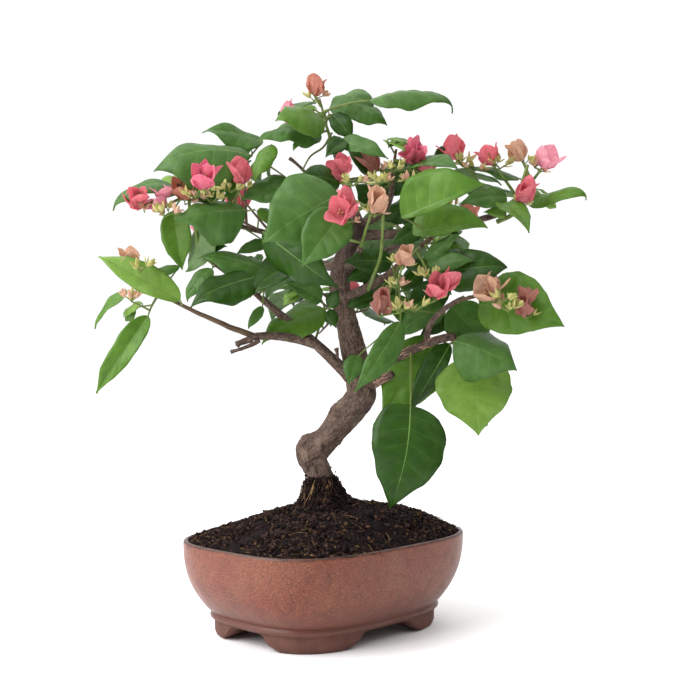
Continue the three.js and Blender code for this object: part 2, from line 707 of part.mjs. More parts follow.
function shootSolid(shoot) {
  const { corners, thick, thin, sides } = shoot;
  const last = corners.length - 1;
  const radii = corners.map((corner, step) => THREE.MathUtils.lerp(thick, thin, step / last));
  return solid(loft(limbRings(corners, radii, sides, 0, shoot)));
}

// A leaf of four-cornered rings: stalk root, blade base, two across the blade, and the tip
function leafSolid(leaf) {
  const stalkRing = (at) => [
    at.clone().addScaledVector(leaf.side, STALK_RADIUS),
    at.clone().addScaledVector(leaf.face, STALK_RADIUS),
    at.clone().addScaledVector(leaf.side, -STALK_RADIUS),
    at.clone().addScaledVector(leaf.face, -STALK_RADIUS),
  ];
  const bladeRing = (share) => [
    bladePoint(leaf, share, 1, 0),
    bladePoint(leaf, share, 0, LEAF_THICKNESS / 2),
    bladePoint(leaf, share, -1, 0),
    bladePoint(leaf, share, 0, -LEAF_THICKNESS / 2),
  ];
  const stalk = [stalkRing(leaf.root), stalkRing(leaf.base)];
  return solid(loft([...stalk, bladeRing(0.18), bladeRing(0.56), [bladePoint(leaf, 1, 0, 0)]]));
}

// A flower: three pointed bracts opening as one cup from the end of the stalk
function flowerSolid(flower) {
  const { root, axis, spin, length } = flower;
  const ring = [];
  for (let bract = 0; bract < 3; bract += 1) {
    const turn = spin + (bract * 2 * Math.PI) / 3;
    const places = [[turn - 0.75, 0.5, 0.55], [turn, 0.62, 0.95], [turn + 0.75, 0.5, 0.55]];
    for (const [angle, out, rise] of places) {
      const point = root.clone().addScaledVector(radialTo(axis, angle), out * length);
      ring.push(point.addScaledVector(axis, rise * length));
    }
  }
  return solid(loft([[root], ring, [root.clone().addScaledVector(axis, BRACT_THICKNESS + 1.2)]]));
}

// Fuse a mass, leaving out any piece that comes too near a limb, another mass or its leading leaves
function massBody(mass, limbs, others) {
  const near = (piece, solids) => solids.some((other) => piece.minGap(other, 1) < GAP - 0.02);
  const held = others.flatMap((other) => other.body ?? other.leadingSolids);
  const leading = mass.leadingSolids.filter((piece) => !near(piece, limbs) && !near(piece, held));
  const grown = [
    ...mass.shoots.slice(1).map(shootSolid),
    ...mass.leaves.slice(mass.leading.length).map(leafSolid),
    ...mass.flowers.map(flowerSolid),
  ];
  const side = grown.filter((piece) => !near(piece, limbs) && !near(piece, held));
  return largestBody(wasm.Manifold.union([shootSolid(mass.shoots[0]), ...leading, ...side]));
}

const plant = new THREE.Group();
plant.name = "bougainvillea";
const seat = vector(TRUNK_BENDS.flare).setZ(0).applyAxisAngle(UP, TREE_TURN);
plant.add(meshOf("pot", makePot(), "pot"));
plant.add(meshOf("soil", makeSoil(seat), "soil"));

const tree = new THREE.Group();
tree.name = "tree";
tree.rotation.z = TREE_TURN;
const limbs = makeLimbs();
for (const [name, limb] of Object.entries(limbs)) tree.add(meshOf(name, limb.body, "wood"));
const limbBodies = Object.values(limbs).map((limb) => limb.body);
const masses = growMasses(limbs);
for (const mass of masses) {
  mass.leadingSolids = mass.leaves.slice(0, mass.leading.length).map(leafSolid);
}
for (const mass of masses) {
  mass.body = massBody(mass, limbBodies, masses.filter((other) => other !== mass));
  tree.add(meshOf(mass.name, mass.body, "foliage"));
}
plant.add(tree);

// The origin lies on the ground under the middle of the plant's own box
const box = new THREE.Box3().setFromObject(plant, true);
const middle = box.getCenter(new THREE.Vector3());
plant.position.set(-middle.x, -middle.y, -box.min.z);

export default plant;
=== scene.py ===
# %% [markdown]
# # A bougainvillea bonsai in its pot
# The object is a small tree: a twisted trunk in dark soil, a crown of broad leaves with papery
# bracts, and a speckled glazed pot on four corner feet. Solids for all of it already exist as a
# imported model, so this lesson only makes the looks. Each cell makes one piece or one finish.

import math
from collections import namedtuple
from types import SimpleNamespace

import bpy
import numpy as np
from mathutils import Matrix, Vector, noise


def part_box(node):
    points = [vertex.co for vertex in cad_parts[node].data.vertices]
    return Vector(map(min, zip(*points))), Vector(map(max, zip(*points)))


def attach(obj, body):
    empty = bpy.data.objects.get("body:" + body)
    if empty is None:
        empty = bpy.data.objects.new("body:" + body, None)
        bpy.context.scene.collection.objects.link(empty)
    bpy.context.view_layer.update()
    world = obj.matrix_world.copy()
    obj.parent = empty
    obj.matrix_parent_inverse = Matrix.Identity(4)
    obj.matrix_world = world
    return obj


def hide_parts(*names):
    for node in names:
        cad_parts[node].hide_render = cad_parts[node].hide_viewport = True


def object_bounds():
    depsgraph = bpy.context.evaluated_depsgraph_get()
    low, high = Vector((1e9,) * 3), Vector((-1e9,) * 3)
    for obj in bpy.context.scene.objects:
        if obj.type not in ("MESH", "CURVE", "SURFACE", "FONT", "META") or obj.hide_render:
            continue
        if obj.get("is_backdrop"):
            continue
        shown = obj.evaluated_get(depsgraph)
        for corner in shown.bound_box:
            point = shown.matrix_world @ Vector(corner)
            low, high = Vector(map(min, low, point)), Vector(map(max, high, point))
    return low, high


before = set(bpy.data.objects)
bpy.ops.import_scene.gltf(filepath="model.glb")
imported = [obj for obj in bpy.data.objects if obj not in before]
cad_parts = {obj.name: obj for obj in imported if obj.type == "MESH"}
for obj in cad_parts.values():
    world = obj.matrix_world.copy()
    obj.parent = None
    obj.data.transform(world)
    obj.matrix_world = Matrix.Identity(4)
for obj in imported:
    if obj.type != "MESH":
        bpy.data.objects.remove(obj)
solid_box = [list(corner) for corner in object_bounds()]
print("Solids in the frame:", len(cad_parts))

# %% [markdown]
# ## Two frames for building
# The pot is square to the model's axes, but the tree faces one corner of the pot. It is easier to
# build each in its own millimetres, around the middle of the pot, and to turn and shift the points
# once at the end. The pot's box in the frame says where that middle is.

# %% Millimetres around the pot's middle
MM = 0.001
TREE_TURN = math.radians(-46.6)
pot_low, pot_high = (np.array(corner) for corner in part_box("pot"))
pot_size = (pot_high - pot_low) / MM
pot_middle = (pot_low + pot_high) / 2
pot_middle[2] = 0.0


def pot_place(points):
    """Pot millimetres to the model's metres."""
    return np.asarray(points, float) * MM + pot_middle


def tree_turn(points):
    """Tree millimetres (x right of its front, y away from it) to pot millimetres."""
    cosine, sine = math.cos(TREE_TURN), math.sin(TREE_TURN)
    turn = np.array([[cosine, sine, 0], [-sine, cosine, 0], [0, 0, 1]])
    return np.asarray(points, float) @ turn


def tree_place(points):
    return pot_place(tree_turn(points))


print("Pot size in mm:", pot_size.round(1))

# %% [markdown]
# ## Joining many small meshes
# A tree has hundreds of leaves. Hundreds of objects would be slow, and instances are lost on export,
# so leaves of one kind are gathered as plain arrays and become one mesh at the end. NumPy arrays go
# into a Blender mesh with `foreach_set`, which is far quicker than adding faces one by one.

# %% A bundle of small meshes
class Bundle:
    """Collects points and faces, then makes one piece. A face of three repeats its last corner."""

    def __init__(self, name, finishes):
        self.name = name
        self.finishes = finishes
        self.points, self.faces, self.slots = [], [], []
        self.marks = {}
        self.count = 0

    def add(self, points, faces, slot=0, **marks):
        self.points.append(points)
        self.faces.append(np.asarray(faces) + self.count)
        self.slots.append(np.broadcast_to(slot, len(faces)))
        for mark, values in marks.items():
            self.marks.setdefault(mark, []).append(values)
        self.count += len(points)

    def piece(self, place, record_slot, replaced=(), sharp_angle=None):
        faces = np.concatenate(self.faces)
        keep = np.ones(faces.shape, bool)
        keep[:, 3] = faces[:, 2] != faces[:, 3]
        sizes = keep.sum(1)
        mesh = bpy.data.meshes.new(self.name)
        mesh.vertices.add(self.count)
        mesh.vertices.foreach_set("co", place(np.concatenate(self.points)).ravel())
        mesh.loops.add(int(sizes.sum()))
        mesh.loops.foreach_set("vertex_index", faces[keep].astype(np.int32))
        mesh.polygons.add(len(faces))
        mesh.polygons.foreach_set("loop_start", (np.cumsum(sizes) - sizes).astype(np.int32))
        mesh.polygons.foreach_set("material_index", np.concatenate(self.slots).astype(np.int32))
        mesh.polygons.foreach_set("use_smooth", np.ones(len(faces), bool))
        for mark, values in self.marks.items():
            values = np.concatenate(values)
            kind, field = ("FLOAT", "value") if values.ndim == 1 else ("FLOAT_VECTOR", "vector")
            layer = mesh.attributes.new(mark, kind, "POINT")
            layer.data.foreach_set(field, values.ravel())
        mesh.update(calc_edges=True)
        mesh.validate()
        if sharp_angle:
            mesh.set_sharp_from_angle(angle=math.radians(sharp_angle))
        for finish in self.finishes:
            mesh.materials.append(finish)
        made = bpy.data.objects.new(self.name, mesh)
        bpy.context.collection.objects.link(made)
        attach(made, "root")
        if replaced:
            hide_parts(*replaced)
        print(f"{self.name}: {int((sizes - 2).sum())} triangles")

# %% [markdown]
# ## Rings and tubes
# Stalks, twigs, roots and limbs are tubes: rings of points along a path, with faces between the rings
# and a fan of faces at each end. A curve with a bevel would do for one twig, but plain points can go
# into a bundle with hundreds of others.

# %% Faces between rings
def band_faces(rings, sides, closed=True):
    """Faces between rings that follow each other in a point list."""
    ring = np.arange(rings - 1)[:, None] * sides
    side = np.arange(sides if closed else sides - 1)[None, :]
    after = (side + 1) % sides
    corners = [ring + side, ring + after, ring + sides + after, ring + sides + side]
    return np.stack(corners, -1).reshape(-1, 4)


def fan(first, count, centre, turned):
    """Faces from a ring of points to the point in its middle."""
    side = first + np.arange(count)
    after = first + (np.arange(count) + 1) % count
    pair = [after, side] if turned else [side, after]
    return np.stack([np.full(count, centre), *pair, pair[1]], 1)


def tube_faces(rings, sides):
    """Faces of a closed tube, whose points are its rings and then a middle point for each end."""
    middle = rings * sides
    ends = [fan(0, sides, middle, True), fan(middle - sides, sides, middle + 1, False)]
    return np.concatenate([band_faces(rings, sides), *ends])


# %% Tubes along a path
ASLANT = np.array([0.31, 0.93, 0.17])


def unit(vector):
    return vector / max(np.linalg.norm(vector), 1e-9)


def ring_directions(path, across):
    """Two directions square to a path at each of its points, without a sudden turn between them."""
    for along in np.gradient(path, axis=0):
        along = unit(along)
        across = unit(across - along * (across @ along))
        yield across, np.cross(along, across)


def end_points(path, radii, before, beyond):
    """Points that close a tube: shares of its radius before its start and beyond its end."""
    heading = np.gradient(path, axis=0)
    start = path[0] - unit(heading[0]) * radii[0] * before
    end = path[-1] + unit(heading[-1]) * radii[-1] * beyond
    return [start, end]


def tube(path, radii, sides):
    """A round tube along a path, with a blunt point at each end."""
    path = np.asarray(path, float)
    radii = np.broadcast_to(radii, len(path))
    angle = np.arange(sides) * 2 * math.pi / sides
    points = []
    for point, radius, (across, other) in zip(path, radii, ring_directions(path, ASLANT)):
        circle = np.outer(np.cos(angle), across) + np.outer(np.sin(angle), other)
        points.append(point + radius * circle)
    points.append(np.array(end_points(path, radii, 0.5, 0.5)))
    return np.concatenate(points), tube_faces(len(path), sides)


# %% [markdown]
# ## Helpers for materials
# Materials are node trees. Short helpers keep them readable: one adds a node and fills or links its
# sockets, and one turns a colour as a paint program shows it into the linear values that shaders use.
# Each of the others adds what many finishes need, such as a mix of two colours or a bumpy surface.

# %% Node helpers
def add_node(tree, kind, sockets=None, **settings):
    """A new node; sockets gives values or links for its inputs."""
    made = tree.nodes.new(kind)
    for setting, value in settings.items():
        setattr(made, setting, value)
    for socket, value in (sockets or {}).items():
        if isinstance(value, bpy.types.NodeSocket):
            tree.links.new(value, made.inputs[socket])
        else:
            made.inputs[socket].default_value = value
    return made


def tint(red, green, blue):
    """A colour of 0 to 255 as linear values."""
    linear = []
    for level in (red, green, blue):
        share = level / 255
        linear.append(share / 12.92 if share < 0.04045 else ((share + 0.055) / 1.055) ** 2.4)
    return (*linear, 1.0)


def mix_colours(tree, share, first, second):
    mixed = add_node(tree, "ShaderNodeMix", {0: share, 6: first, 7: second}, data_type="RGBA")
    return mixed.outputs[2]


def remap(tree, value, low, high, to_low, to_high):
    sockets = {0: value, 1: low, 2: high, 3: to_low, 4: to_high}
    return add_node(tree, "ShaderNodeMapRange", sockets).outputs[0]


def stain(tree, colour, stained, mask, low, high, most):
    """A colour that gives way to another, as a mask goes from a low to a high value."""
    return mix_colours(tree, remap(tree, mask, low, high, 0.0, most), colour, stained)


def reckon(tree, operation, *values, clamp=False):
    """The result of a Math node."""
    sockets = dict(enumerate(values))
    return add_node(tree, "ShaderNodeMath", sockets, operation=operation, use_clamp=clamp).outputs[0]


def object_place(tree):
    return add_node(tree, "ShaderNodeTexCoord").outputs["Object"]


def noise_value(tree, place, scale, detail):
    sockets = {"Vector": place, "Scale": scale, "Detail": detail}
    return add_node(tree, "ShaderNodeTexNoise", sockets).outputs[0]


# %% Materials and groups
def new_finish(name):
    """An empty material and its node tree."""
    finish = bpy.data.materials.new(name)
    finish.use_nodes = True
    finish.node_tree.nodes.clear()
    return finish, finish.node_tree


def bumpy_surface(tree, colour, roughness, relief, strength, depth, shine, more=None):
    """A Principled surface with a bump that follows a relief, up to a depth in metres."""
    bump = add_node(tree, "ShaderNodeBump", {"Height": relief, "Strength": strength, "Distance": depth})
    sockets = {"Base Color": colour, "Roughness": roughness, "Normal": bump.outputs[0]}
    sockets.update({"Specular IOR Level": shine, **(more or {})})
    return add_node(tree, "ShaderNodeBsdfPrincipled", sockets).outputs[0]


def show_surface(tree, surface):
    add_node(tree, "ShaderNodeOutputMaterial", {"Surface": surface})


def new_group(name, inputs, outputs):
    """A shader group; inputs maps names to starting values, outputs lists names."""
    group = bpy.data.node_groups.new(name, "ShaderNodeTree")
    for socket, value in inputs.items():
        made = group.interface.new_socket(socket, in_out="INPUT", socket_type="NodeSocketFloat")
        made.default_value = value
    for socket in outputs:
        group.interface.new_socket(socket, in_out="OUTPUT", socket_type="NodeSocketFloat")
    return group, group.nodes.new("NodeGroupInput"), group.nodes.new("NodeGroupOutput")


def place_group(tree, group, **sockets):
    used = add_node(tree, "ShaderNodeGroup", node_tree=group)
    for socket, value in sockets.items():
        used.inputs[socket].default_value = value
    return used


# %% [markdown]
# ## Effects that several finishes share
# Nothing here has one even colour. *Mottle* is a soft cloud for leaves, bracts, soil and clay.
# *Speckle* makes small separate dots, as in a fired glaze. Both read object coordinates, so the
# pattern stays on the piece when the camera moves.

# %% Mottle group
FINER = 7.0


def mottle_group():
    group, given, out = new_group("mottle", {"Size": 5.0, "Contrast": 2.0}, ["Cloud", "Fine"])
    place = object_place(group)
    scale = reckon(group, "DIVIDE", 1 / MM, given.outputs["Size"])
    centred = reckon(group, "SUBTRACT", noise_value(group, place, scale, 3.0), 0.5)
    spread = reckon(group, "MULTIPLY_ADD", centred, given.outputs["Contrast"], 0.5, clamp=True)
    fine = noise_value(group, place, reckon(group, "MULTIPLY", scale, FINER), 2.0)
    group.links.new(spread, out.inputs["Cloud"])
    group.links.new(fine, out.inputs["Fine"])
    return group


mottle = mottle_group()
print("Group:", mottle.name)

# %% Speckle group
DOT_SHARPNESS = 8.0


def speckle_group():
    group, given, out = new_group("speckle", {"Spacing": 1.2, "Cover": 0.4, "Dot": 0.3}, ["Specks"])
    scale = reckon(group, "DIVIDE", 1 / MM, given.outputs["Spacing"])
    cells = add_node(group, "ShaderNodeTexVoronoi", {"Vector": object_place(group), "Scale": scale})
    reach = reckon(group, "SUBTRACT", given.outputs["Dot"], cells.outputs["Distance"])
    soft = reckon(group, "MULTIPLY", reach, DOT_SHARPNESS, clamp=True)
    odds = add_node(group, "ShaderNodeSeparateColor", {0: cells.outputs["Color"]}).outputs[0]
    chosen = reckon(group, "LESS_THAN", odds, given.outputs["Cover"])
    group.links.new(reckon(group, "MULTIPLY", soft, chosen), out.inputs["Specks"])
    return group


speckle = speckle_group()
print("Group:", speckle.name)

# %% [markdown]
# ## The pot's glaze
# The glaze is a warm red-brown that breaks to tan and rust, full of tiny dark and pale dots, with a
# dark line along the rim where it runs thin. Toward the belt it turns duller and darker, partly its own
# colour and partly painted shade. The feet are bare clay. One material does all three: height on the
# pot decides between rim, glaze and clay, and noise roughens the borders.

# %% Glaze
# Heights on the pot, in millimetres, between which one look gives way to the next.
CLAY_TO_GLAZE, DULL_AND_SHADED_TO_WARM, GLAZE_TO_RIM = (11.0, 15.0), (14.0, 34.0), (66.3, 67.1)


def height_mask(tree, low, high, ragged):
    """0 below one height and 1 above another, with a ragged border."""
    place = object_place(tree)
    height = add_node(tree, "ShaderNodeSeparateXYZ", {0: place}).outputs[2]
    shift = remap(tree, noise_value(tree, place, 160.0, 3.0), 0.3, 0.7, -ragged * MM, ragged * MM)
    return remap(tree, reckon(tree, "ADD", height, shift), low * MM, high * MM, 0.0, 1.0)


def glaze_finish():
    finish, tree = new_finish("pot_glaze")
    clouds = place_group(tree, mottle, Size=26.0, Contrast=2.6).outputs["Cloud"]
    patches = place_group(tree, mottle, Size=9.0, Contrast=2.4).outputs["Cloud"]
    dark_dots = place_group(tree, speckle, Spacing=1.15, Cover=0.55, Dot=0.42).outputs["Specks"]
    pale_dots = place_group(tree, speckle, Spacing=1.3, Cover=0.5, Dot=0.4).outputs["Specks"]
    body = mix_colours(tree, clouds, tint(114, 55, 40), tint(122, 72, 52))
    body = stain(tree, body, tint(92, 48, 38), patches, 0.45, 1.0, 0.5)
    body = stain(tree, body, tint(158, 98, 70), pale_dots, 0.0, 1.0, 0.6)
    body = stain(tree, body, tint(54, 30, 26), dark_dots, 0.0, 1.0, 0.75)
    # Painted shade, with a duller glaze: the body turns darker toward the belt at the bottom.
    body = mix_colours(tree, height_mask(tree, *DULL_AND_SHADED_TO_WARM, 2.0), tint(98, 58, 48), body)
    clay = mix_colours(tree, patches, tint(88, 56, 48), tint(108, 72, 62))
    clay = stain(tree, clay, tint(60, 40, 34), dark_dots, 0.0, 1.0, 0.35)
    glazed = height_mask(tree, *CLAY_TO_GLAZE, 1.2)
    rim = mix_colours(tree, patches, tint(42, 26, 22), tint(92, 58, 48))
    colour = mix_colours(tree, glazed, clay, body)
    colour = mix_colours(tree, height_mask(tree, *GLAZE_TO_RIM, 0.4), colour, rim)
    rough = reckon(tree, "MULTIPLY_ADD", patches, 0.1, remap(tree, glazed, 0.0, 1.0, 0.72, 0.36))
    relief = reckon(tree, "SUBTRACT", pale_dots, dark_dots)
    coat = {"Coat Weight": remap(tree, glazed, 0.0, 1.0, 0.0, 0.14), "Coat Roughness": 0.18}
    show_surface(tree, bumpy_surface(tree, colour, rough, relief, 0.16, 0.0004, 0.3, coat))
    return finish


glaze = glaze_finish()
print("Finish:", glaze.name)

# %% [markdown]
# ## The pot
# The pot is a rounded rectangle that curves in to a narrow belt and four bracket feet. A boolean
# could cut the arches between the feet, but it leaves ragged shading. Here the lowest ring of points
# simply rises along the arch, so each ring of the pot stays whole and the shading stays clean.

# %% Pot outline and arches
POT_SQUARENESS = 3.2
POT_SIDES, OUTLINE_SAMPLES = 480, 8001
POT_FLOOR = 19.0
POT_TAPER, POT_BULGE = 0.188, 2.6
BELT_TOP, BELT_SCALE = 17.5, 0.805
FOOT_HEIGHT, FOOT_SCALE, FOOT_BASE_SCALE, FOOT_DEPTH = 10.5, 0.785, 0.77, 15.0
ARCH_LONG, ARCH_SHORT = (88.0, 50.0), (64.0, 34.0)
POT_LENGTH, POT_WIDTH, POT_HEIGHT = pot_size


def unit_outline(angle):
    power = 2 / POT_SQUARENESS
    x = np.sign(np.cos(angle)) * np.abs(np.cos(angle)) ** power
    y = np.sign(np.sin(angle)) * np.abs(np.sin(angle)) ** power
    return x, y


def even_angles(count):
    """Angles that space the outline's points evenly along it."""
    angle = np.linspace(0, 2 * math.pi, OUTLINE_SAMPLES)
    x, y = unit_outline(angle)
    steps = np.hypot(np.diff(x) * POT_LENGTH, np.diff(y) * POT_WIDTH)
    run = np.concatenate([[0], np.cumsum(steps)])
    return np.interp(np.arange(count) * run[-1] / count, run, angle)


pot_angles = even_angles(POT_SIDES)


def pot_ring(scale, inset, height, angle=pot_angles):
    x, y = unit_outline(angle)
    x, y = x * (scale * POT_LENGTH / 2 - inset), y * (scale * POT_WIDTH / 2 - inset)
    return np.stack([x, y, np.broadcast_to(height, x.shape)], 1)


def wall_scale(height):
    depth = (POT_HEIGHT - height) / (POT_HEIGHT - BELT_TOP)
    return 1 - POT_TAPER * depth ** POT_BULGE


def arch_height(distance, base, top):
    """Height of the cut-out between two feet at a distance from its middle."""
    share = np.linspace(0, 1, 40)
    x = (1 - share) ** 2 * base / 2 + 2 * share * (1 - share) * (top / 2 + 2) + share**2 * top / 2
    z = -((1 - share) ** 2) + 2 * share * (1 - share) * FOOT_HEIGHT * 0.25 + share**2 * FOOT_HEIGHT * 0.8
    x, z = np.append(x, [top / 2 - 5, 0]), np.append(z, [FOOT_HEIGHT, FOOT_HEIGHT])
    return np.clip(np.interp(np.abs(distance), x[::-1], z[::-1]), 0, FOOT_HEIGHT - 0.3)


def foot_edge(ring):
    return np.maximum(arch_height(ring[:, 0], *ARCH_LONG), arch_height(ring[:, 1], *ARCH_SHORT))


# %% Pot rings
# The feet's rings have an inset and a lift above the arch. Other rings have a height, and then a
# swelling of their scale for the belt, or an inset for the lip and the inside.
FOOT_RINGS = ((FOOT_DEPTH + 2, None), (FOOT_DEPTH, 0.9), (FOOT_DEPTH - 0.9, 0), (1.0, 0), (0.2, 0.5))
BELT_RINGS = (
    (12.0, -0.012), (12.6, -0.001), (13.6, 0.009), (14.8, 0.012), (15.8, 0.009), (16.5, 0.001),
    (16.9, 0.0), (17.5, 0.006), (18.3, 0.012),
)
WALL_HEIGHTS = np.linspace(19.6, 65.5, 26)
LIP_RINGS = (
    (66.4, 0.0), (67.2, 0.3), (67.8, 0.9), (68.0, 1.5), (67.9, 2.4), (67.4, 3.4), (66.4, 4.4), (64.8, 5.4),
)
INSIDE_RINGS = ((60.0, 6.0), (43.0, 6.0), (27.0, 7.0), (19.0, 15.0))
NEAR_MIDDLE = 0.02


def shrunk(ring, height):
    """A small ring around the middle, at a height, in the shape of another."""
    middle = np.zeros((POT_SIDES, 3)) + [0, 0, height]
    return middle + (ring - middle) * NEAR_MIDDLE


def pot_rings():
    rings = []
    for inset, lift in FOOT_RINGS:
        ring = pot_ring(FOOT_BASE_SCALE, inset, 0.0)
        ring[:, 2] = FOOT_HEIGHT if lift is None else foot_edge(ring) + lift
        rings.append(ring)
    edge = foot_edge(pot_ring(FOOT_BASE_SCALE, 0.0, 0.0)) + 1.2
    for share in (0.0, 0.25, 0.5, 0.75, 1.0):
        height = edge + (FOOT_HEIGHT + 1.0 - edge) * share
        scale = np.interp(height, [0, 4, FOOT_HEIGHT], [FOOT_BASE_SCALE, FOOT_SCALE, FOOT_SCALE])
        rings.append(pot_ring(1.0, 0.0, height) * np.stack([scale, scale, np.ones(POT_SIDES)], 1))
    rings += [pot_ring(BELT_SCALE + swell, 0.0, height) for height, swell in BELT_RINGS]
    rings += [pot_ring(wall_scale(height), 0.0, height) for height in WALL_HEIGHTS]
    rings += [pot_ring(1.0, inset, height) for height, inset in LIP_RINGS]
    rings += [pot_ring(wall_scale(height), inset, height) for height, inset in INSIDE_RINGS]
    return [shrunk(rings[0], FOOT_HEIGHT), *rings, shrunk(rings[-1], POT_FLOOR)]


rings = pot_rings()
middles = np.array([[0, 0, FOOT_HEIGHT], [0, 0, POT_FLOOR]])
shell = Bundle("pot_glazed", [glaze])
shell.add(np.concatenate([*rings, middles]), tube_faces(len(rings), POT_SIDES))
shell.piece(pot_place, "pot_glaze", ["pot"], sharp_angle=50)

# %% [markdown]
# ## Soil finishes
# Fresh potting soil is nearly black, with rusty brown crumbs, straw-coloured fibres and a few olive
# chips of bark. Each kind gets its own finish, all from one function with different colours.

# %% Soil finishes
def earth_finish(name, dark, light, size, roughness):
    finish, tree = new_finish(name)
    clouds = place_group(tree, mottle, Size=size, Contrast=3.0)
    colour = mix_colours(tree, clouds.outputs["Cloud"], tint(*dark), tint(*light))
    fine = clouds.outputs["Fine"]
    rough = remap(tree, fine, 0.3, 0.7, roughness - 0.08, roughness + 0.06)
    show_surface(tree, bumpy_surface(tree, colour, rough, fine, 0.5, 0.0006, 0.1))
    return finish


# Each kind of earth: its darker and lighter mottle, the mottle's size and the roughness. Colours in
# tables are red, green and blue, from 0 to 255.
EARTHS = {
    "soil_dark": ((10, 6, 7), (36, 25, 26), 3.0, 0.9),
    "soil_brown": ((36, 26, 25), (72, 54, 48), 2.5, 0.88),
    "soil_rust": ((60, 40, 32), (100, 70, 54), 2.5, 0.85),
    "straw": ((104, 78, 52), (152, 122, 82), 4.0, 0.7),
    "root_skin": ((36, 25, 21), (66, 47, 38), 3.0, 0.82),
    "bark_chip": ((60, 50, 28), (100, 84, 50), 2.0, 0.8),
}
earth_finishes = {name: earth_finish(name, *values) for name, values in EARTHS.items()}
print("Soil finishes:", len(earth_finishes))


def earths(*names):
    return [earth_finishes[name] for name in names]


# %% [markdown]
# ## The mound of soil
# The soil fills the pot to its rim, domes up and climbs to the trunk in a steep rough collar. Rings
# of points, moved by noise, give the mound. Thousands of crumbs, fibres and roots lie on it as real
# small meshes, because a bump map alone would leave the outline of the mound smooth.

# %% Mound
SOIL_EDGE, SOIL_DOME, SOIL_DOME_POWER, SOIL_COLLAR_REACH = POT_HEIGHT - 1.0, 21.0, 1.9, 5.0
TRUNK_FOOT_HEIGHT, TRUNK_FOOT_SEAT = 108.0, 10.2
SOIL_LEAN, SOIL_INSET, SOIL_SKIRT = 0.06, 3.6, 12.0
UP = np.array([0.0, 0.0, 1.0])
trunk_seat = tree_turn([[-4.0, 0.0, 0.0]])[0]


def outward_at(angle, rise=0.0):
    """Directions away from the middle, level or rising."""
    return np.stack([np.cos(angle), np.sin(angle), np.full(len(angle), rise)], 1)


def soil_point(share, angle):
    """A place on the mound: share 0 at the pot's wall, 1 at the trunk."""
    edge = pot_ring(1.0, SOIL_INSET, SOIL_EDGE, angle)
    seat = outward_at(angle) * TRUNK_FOOT_SEAT + trunk_seat
    place = edge + (seat - edge) * share[:, None]
    stand = np.maximum(0, np.hypot(*(place - trunk_seat)[:, :2].T) - TRUNK_FOOT_SEAT)
    collar = TRUNK_FOOT_HEIGHT + 1.0 - SOIL_EDGE - SOIL_DOME
    rise = SOIL_DOME * (1 - (1 - share) ** SOIL_DOME_POWER)
    rightward = (place - trunk_seat) @ tree_turn([[1.0, 0.0, 0.0]])[0]
    reach = SOIL_COLLAR_REACH * (1 + 0.4 * rightward / (stand + TRUNK_FOOT_SEAT))
    place[:, 2] = SOIL_EDGE + rise + collar * np.exp(-((stand / reach) ** 1.3))
    place[:, 2] += SOIL_LEAN * np.clip(rightward, -60, 60) * np.clip(4 * share * (1 - share), 0, 1)
    return place


def lumps(points, size, seed):
    shift = Vector((seed, 2 * seed, 3 * seed))
    return np.array([noise.noise(Vector(point) / size + shift) for point in points])


def lumps_on_lumps(points, *layers):
    """Lumps of several kinds; each layer gives their height, their size and a seed."""
    return sum(height * lumps(points, size, seed) for height, size, seed in layers)


MOUND_RINGS, MOUND_SIDES = 90, 220
mound_share = np.repeat(np.linspace(0, 1, MOUND_RINGS), MOUND_SIDES)
mound_angle = np.tile(even_angles(MOUND_SIDES), MOUND_RINGS)
mound_points = soil_point(mound_share, mound_angle)
outward = (mound_points - trunk_seat) * [1, 1, 0]
outward /= np.linalg.norm(outward, axis=1, keepdims=True)
ragged = lumps_on_lumps(mound_points, (3.4, 6.0, 5.2), (2.2, 2.6, 8.4))
on_collar = np.clip((mound_share - 0.72) * 6, 0, 1)
below_seat = np.clip((1 - mound_share) * 40, 0, 1)
mound_points += outward * (ragged * on_collar * below_seat)[:, None]
swell = lumps_on_lumps(mound_points, (1.9, 9.0, 3.1), (1.5, 4.2, 7.7), (0.7, 1.7, 1.3))
mound_points[:, 2] += swell * np.clip(mound_share * 8, 0.15, 1)
skirt = soil_point(np.zeros(MOUND_SIDES), even_angles(MOUND_SIDES)) - UP * SOIL_SKIRT
middles = np.array([UP * (SOIL_EDGE - SOIL_SKIRT), trunk_seat + UP * TRUNK_FOOT_HEIGHT])
bed = Bundle("soil_bed", earths("soil_dark"))
bed.add(np.concatenate([skirt, mound_points, middles]), tube_faces(MOUND_RINGS + 1, MOUND_SIDES))
bed.piece(pot_place, "soil", ["soil"])

# %% Crumbs and chips
CRUMB_CORNERS = np.array([[1, 0, 0], [0, 1, 0], [-1, 0, 0], [0, -1, 0], [0, 0, 1], [0, 0, -1]], float)
CRUMB_FACES = np.array(
    [[side, (side + 1) % 4, 4] for side in range(4)] + [[(side + 1) % 4, side, 5] for side in range(4)]
)
chance = np.random.default_rng(47)


def random_turns(count):
    """Random rotation matrices, from random unit quaternions."""
    w, x, y, z = chance.normal(size=(4, count))
    size = np.sqrt(w * w + x * x + y * y + z * z)
    w, x, y, z = w / size, x / size, y / size, z / size
    rows = [
        [1 - 2 * (y * y + z * z), 2 * (x * y - w * z), 2 * (x * z + w * y)],
        [2 * (x * y + w * z), 1 - 2 * (x * x + z * z), 2 * (y * z - w * x)],
        [2 * (x * z - w * y), 2 * (y * z + w * x), 1 - 2 * (x * x + y * y)],
    ]
    return np.moveaxis(np.array(rows), 2, 0)


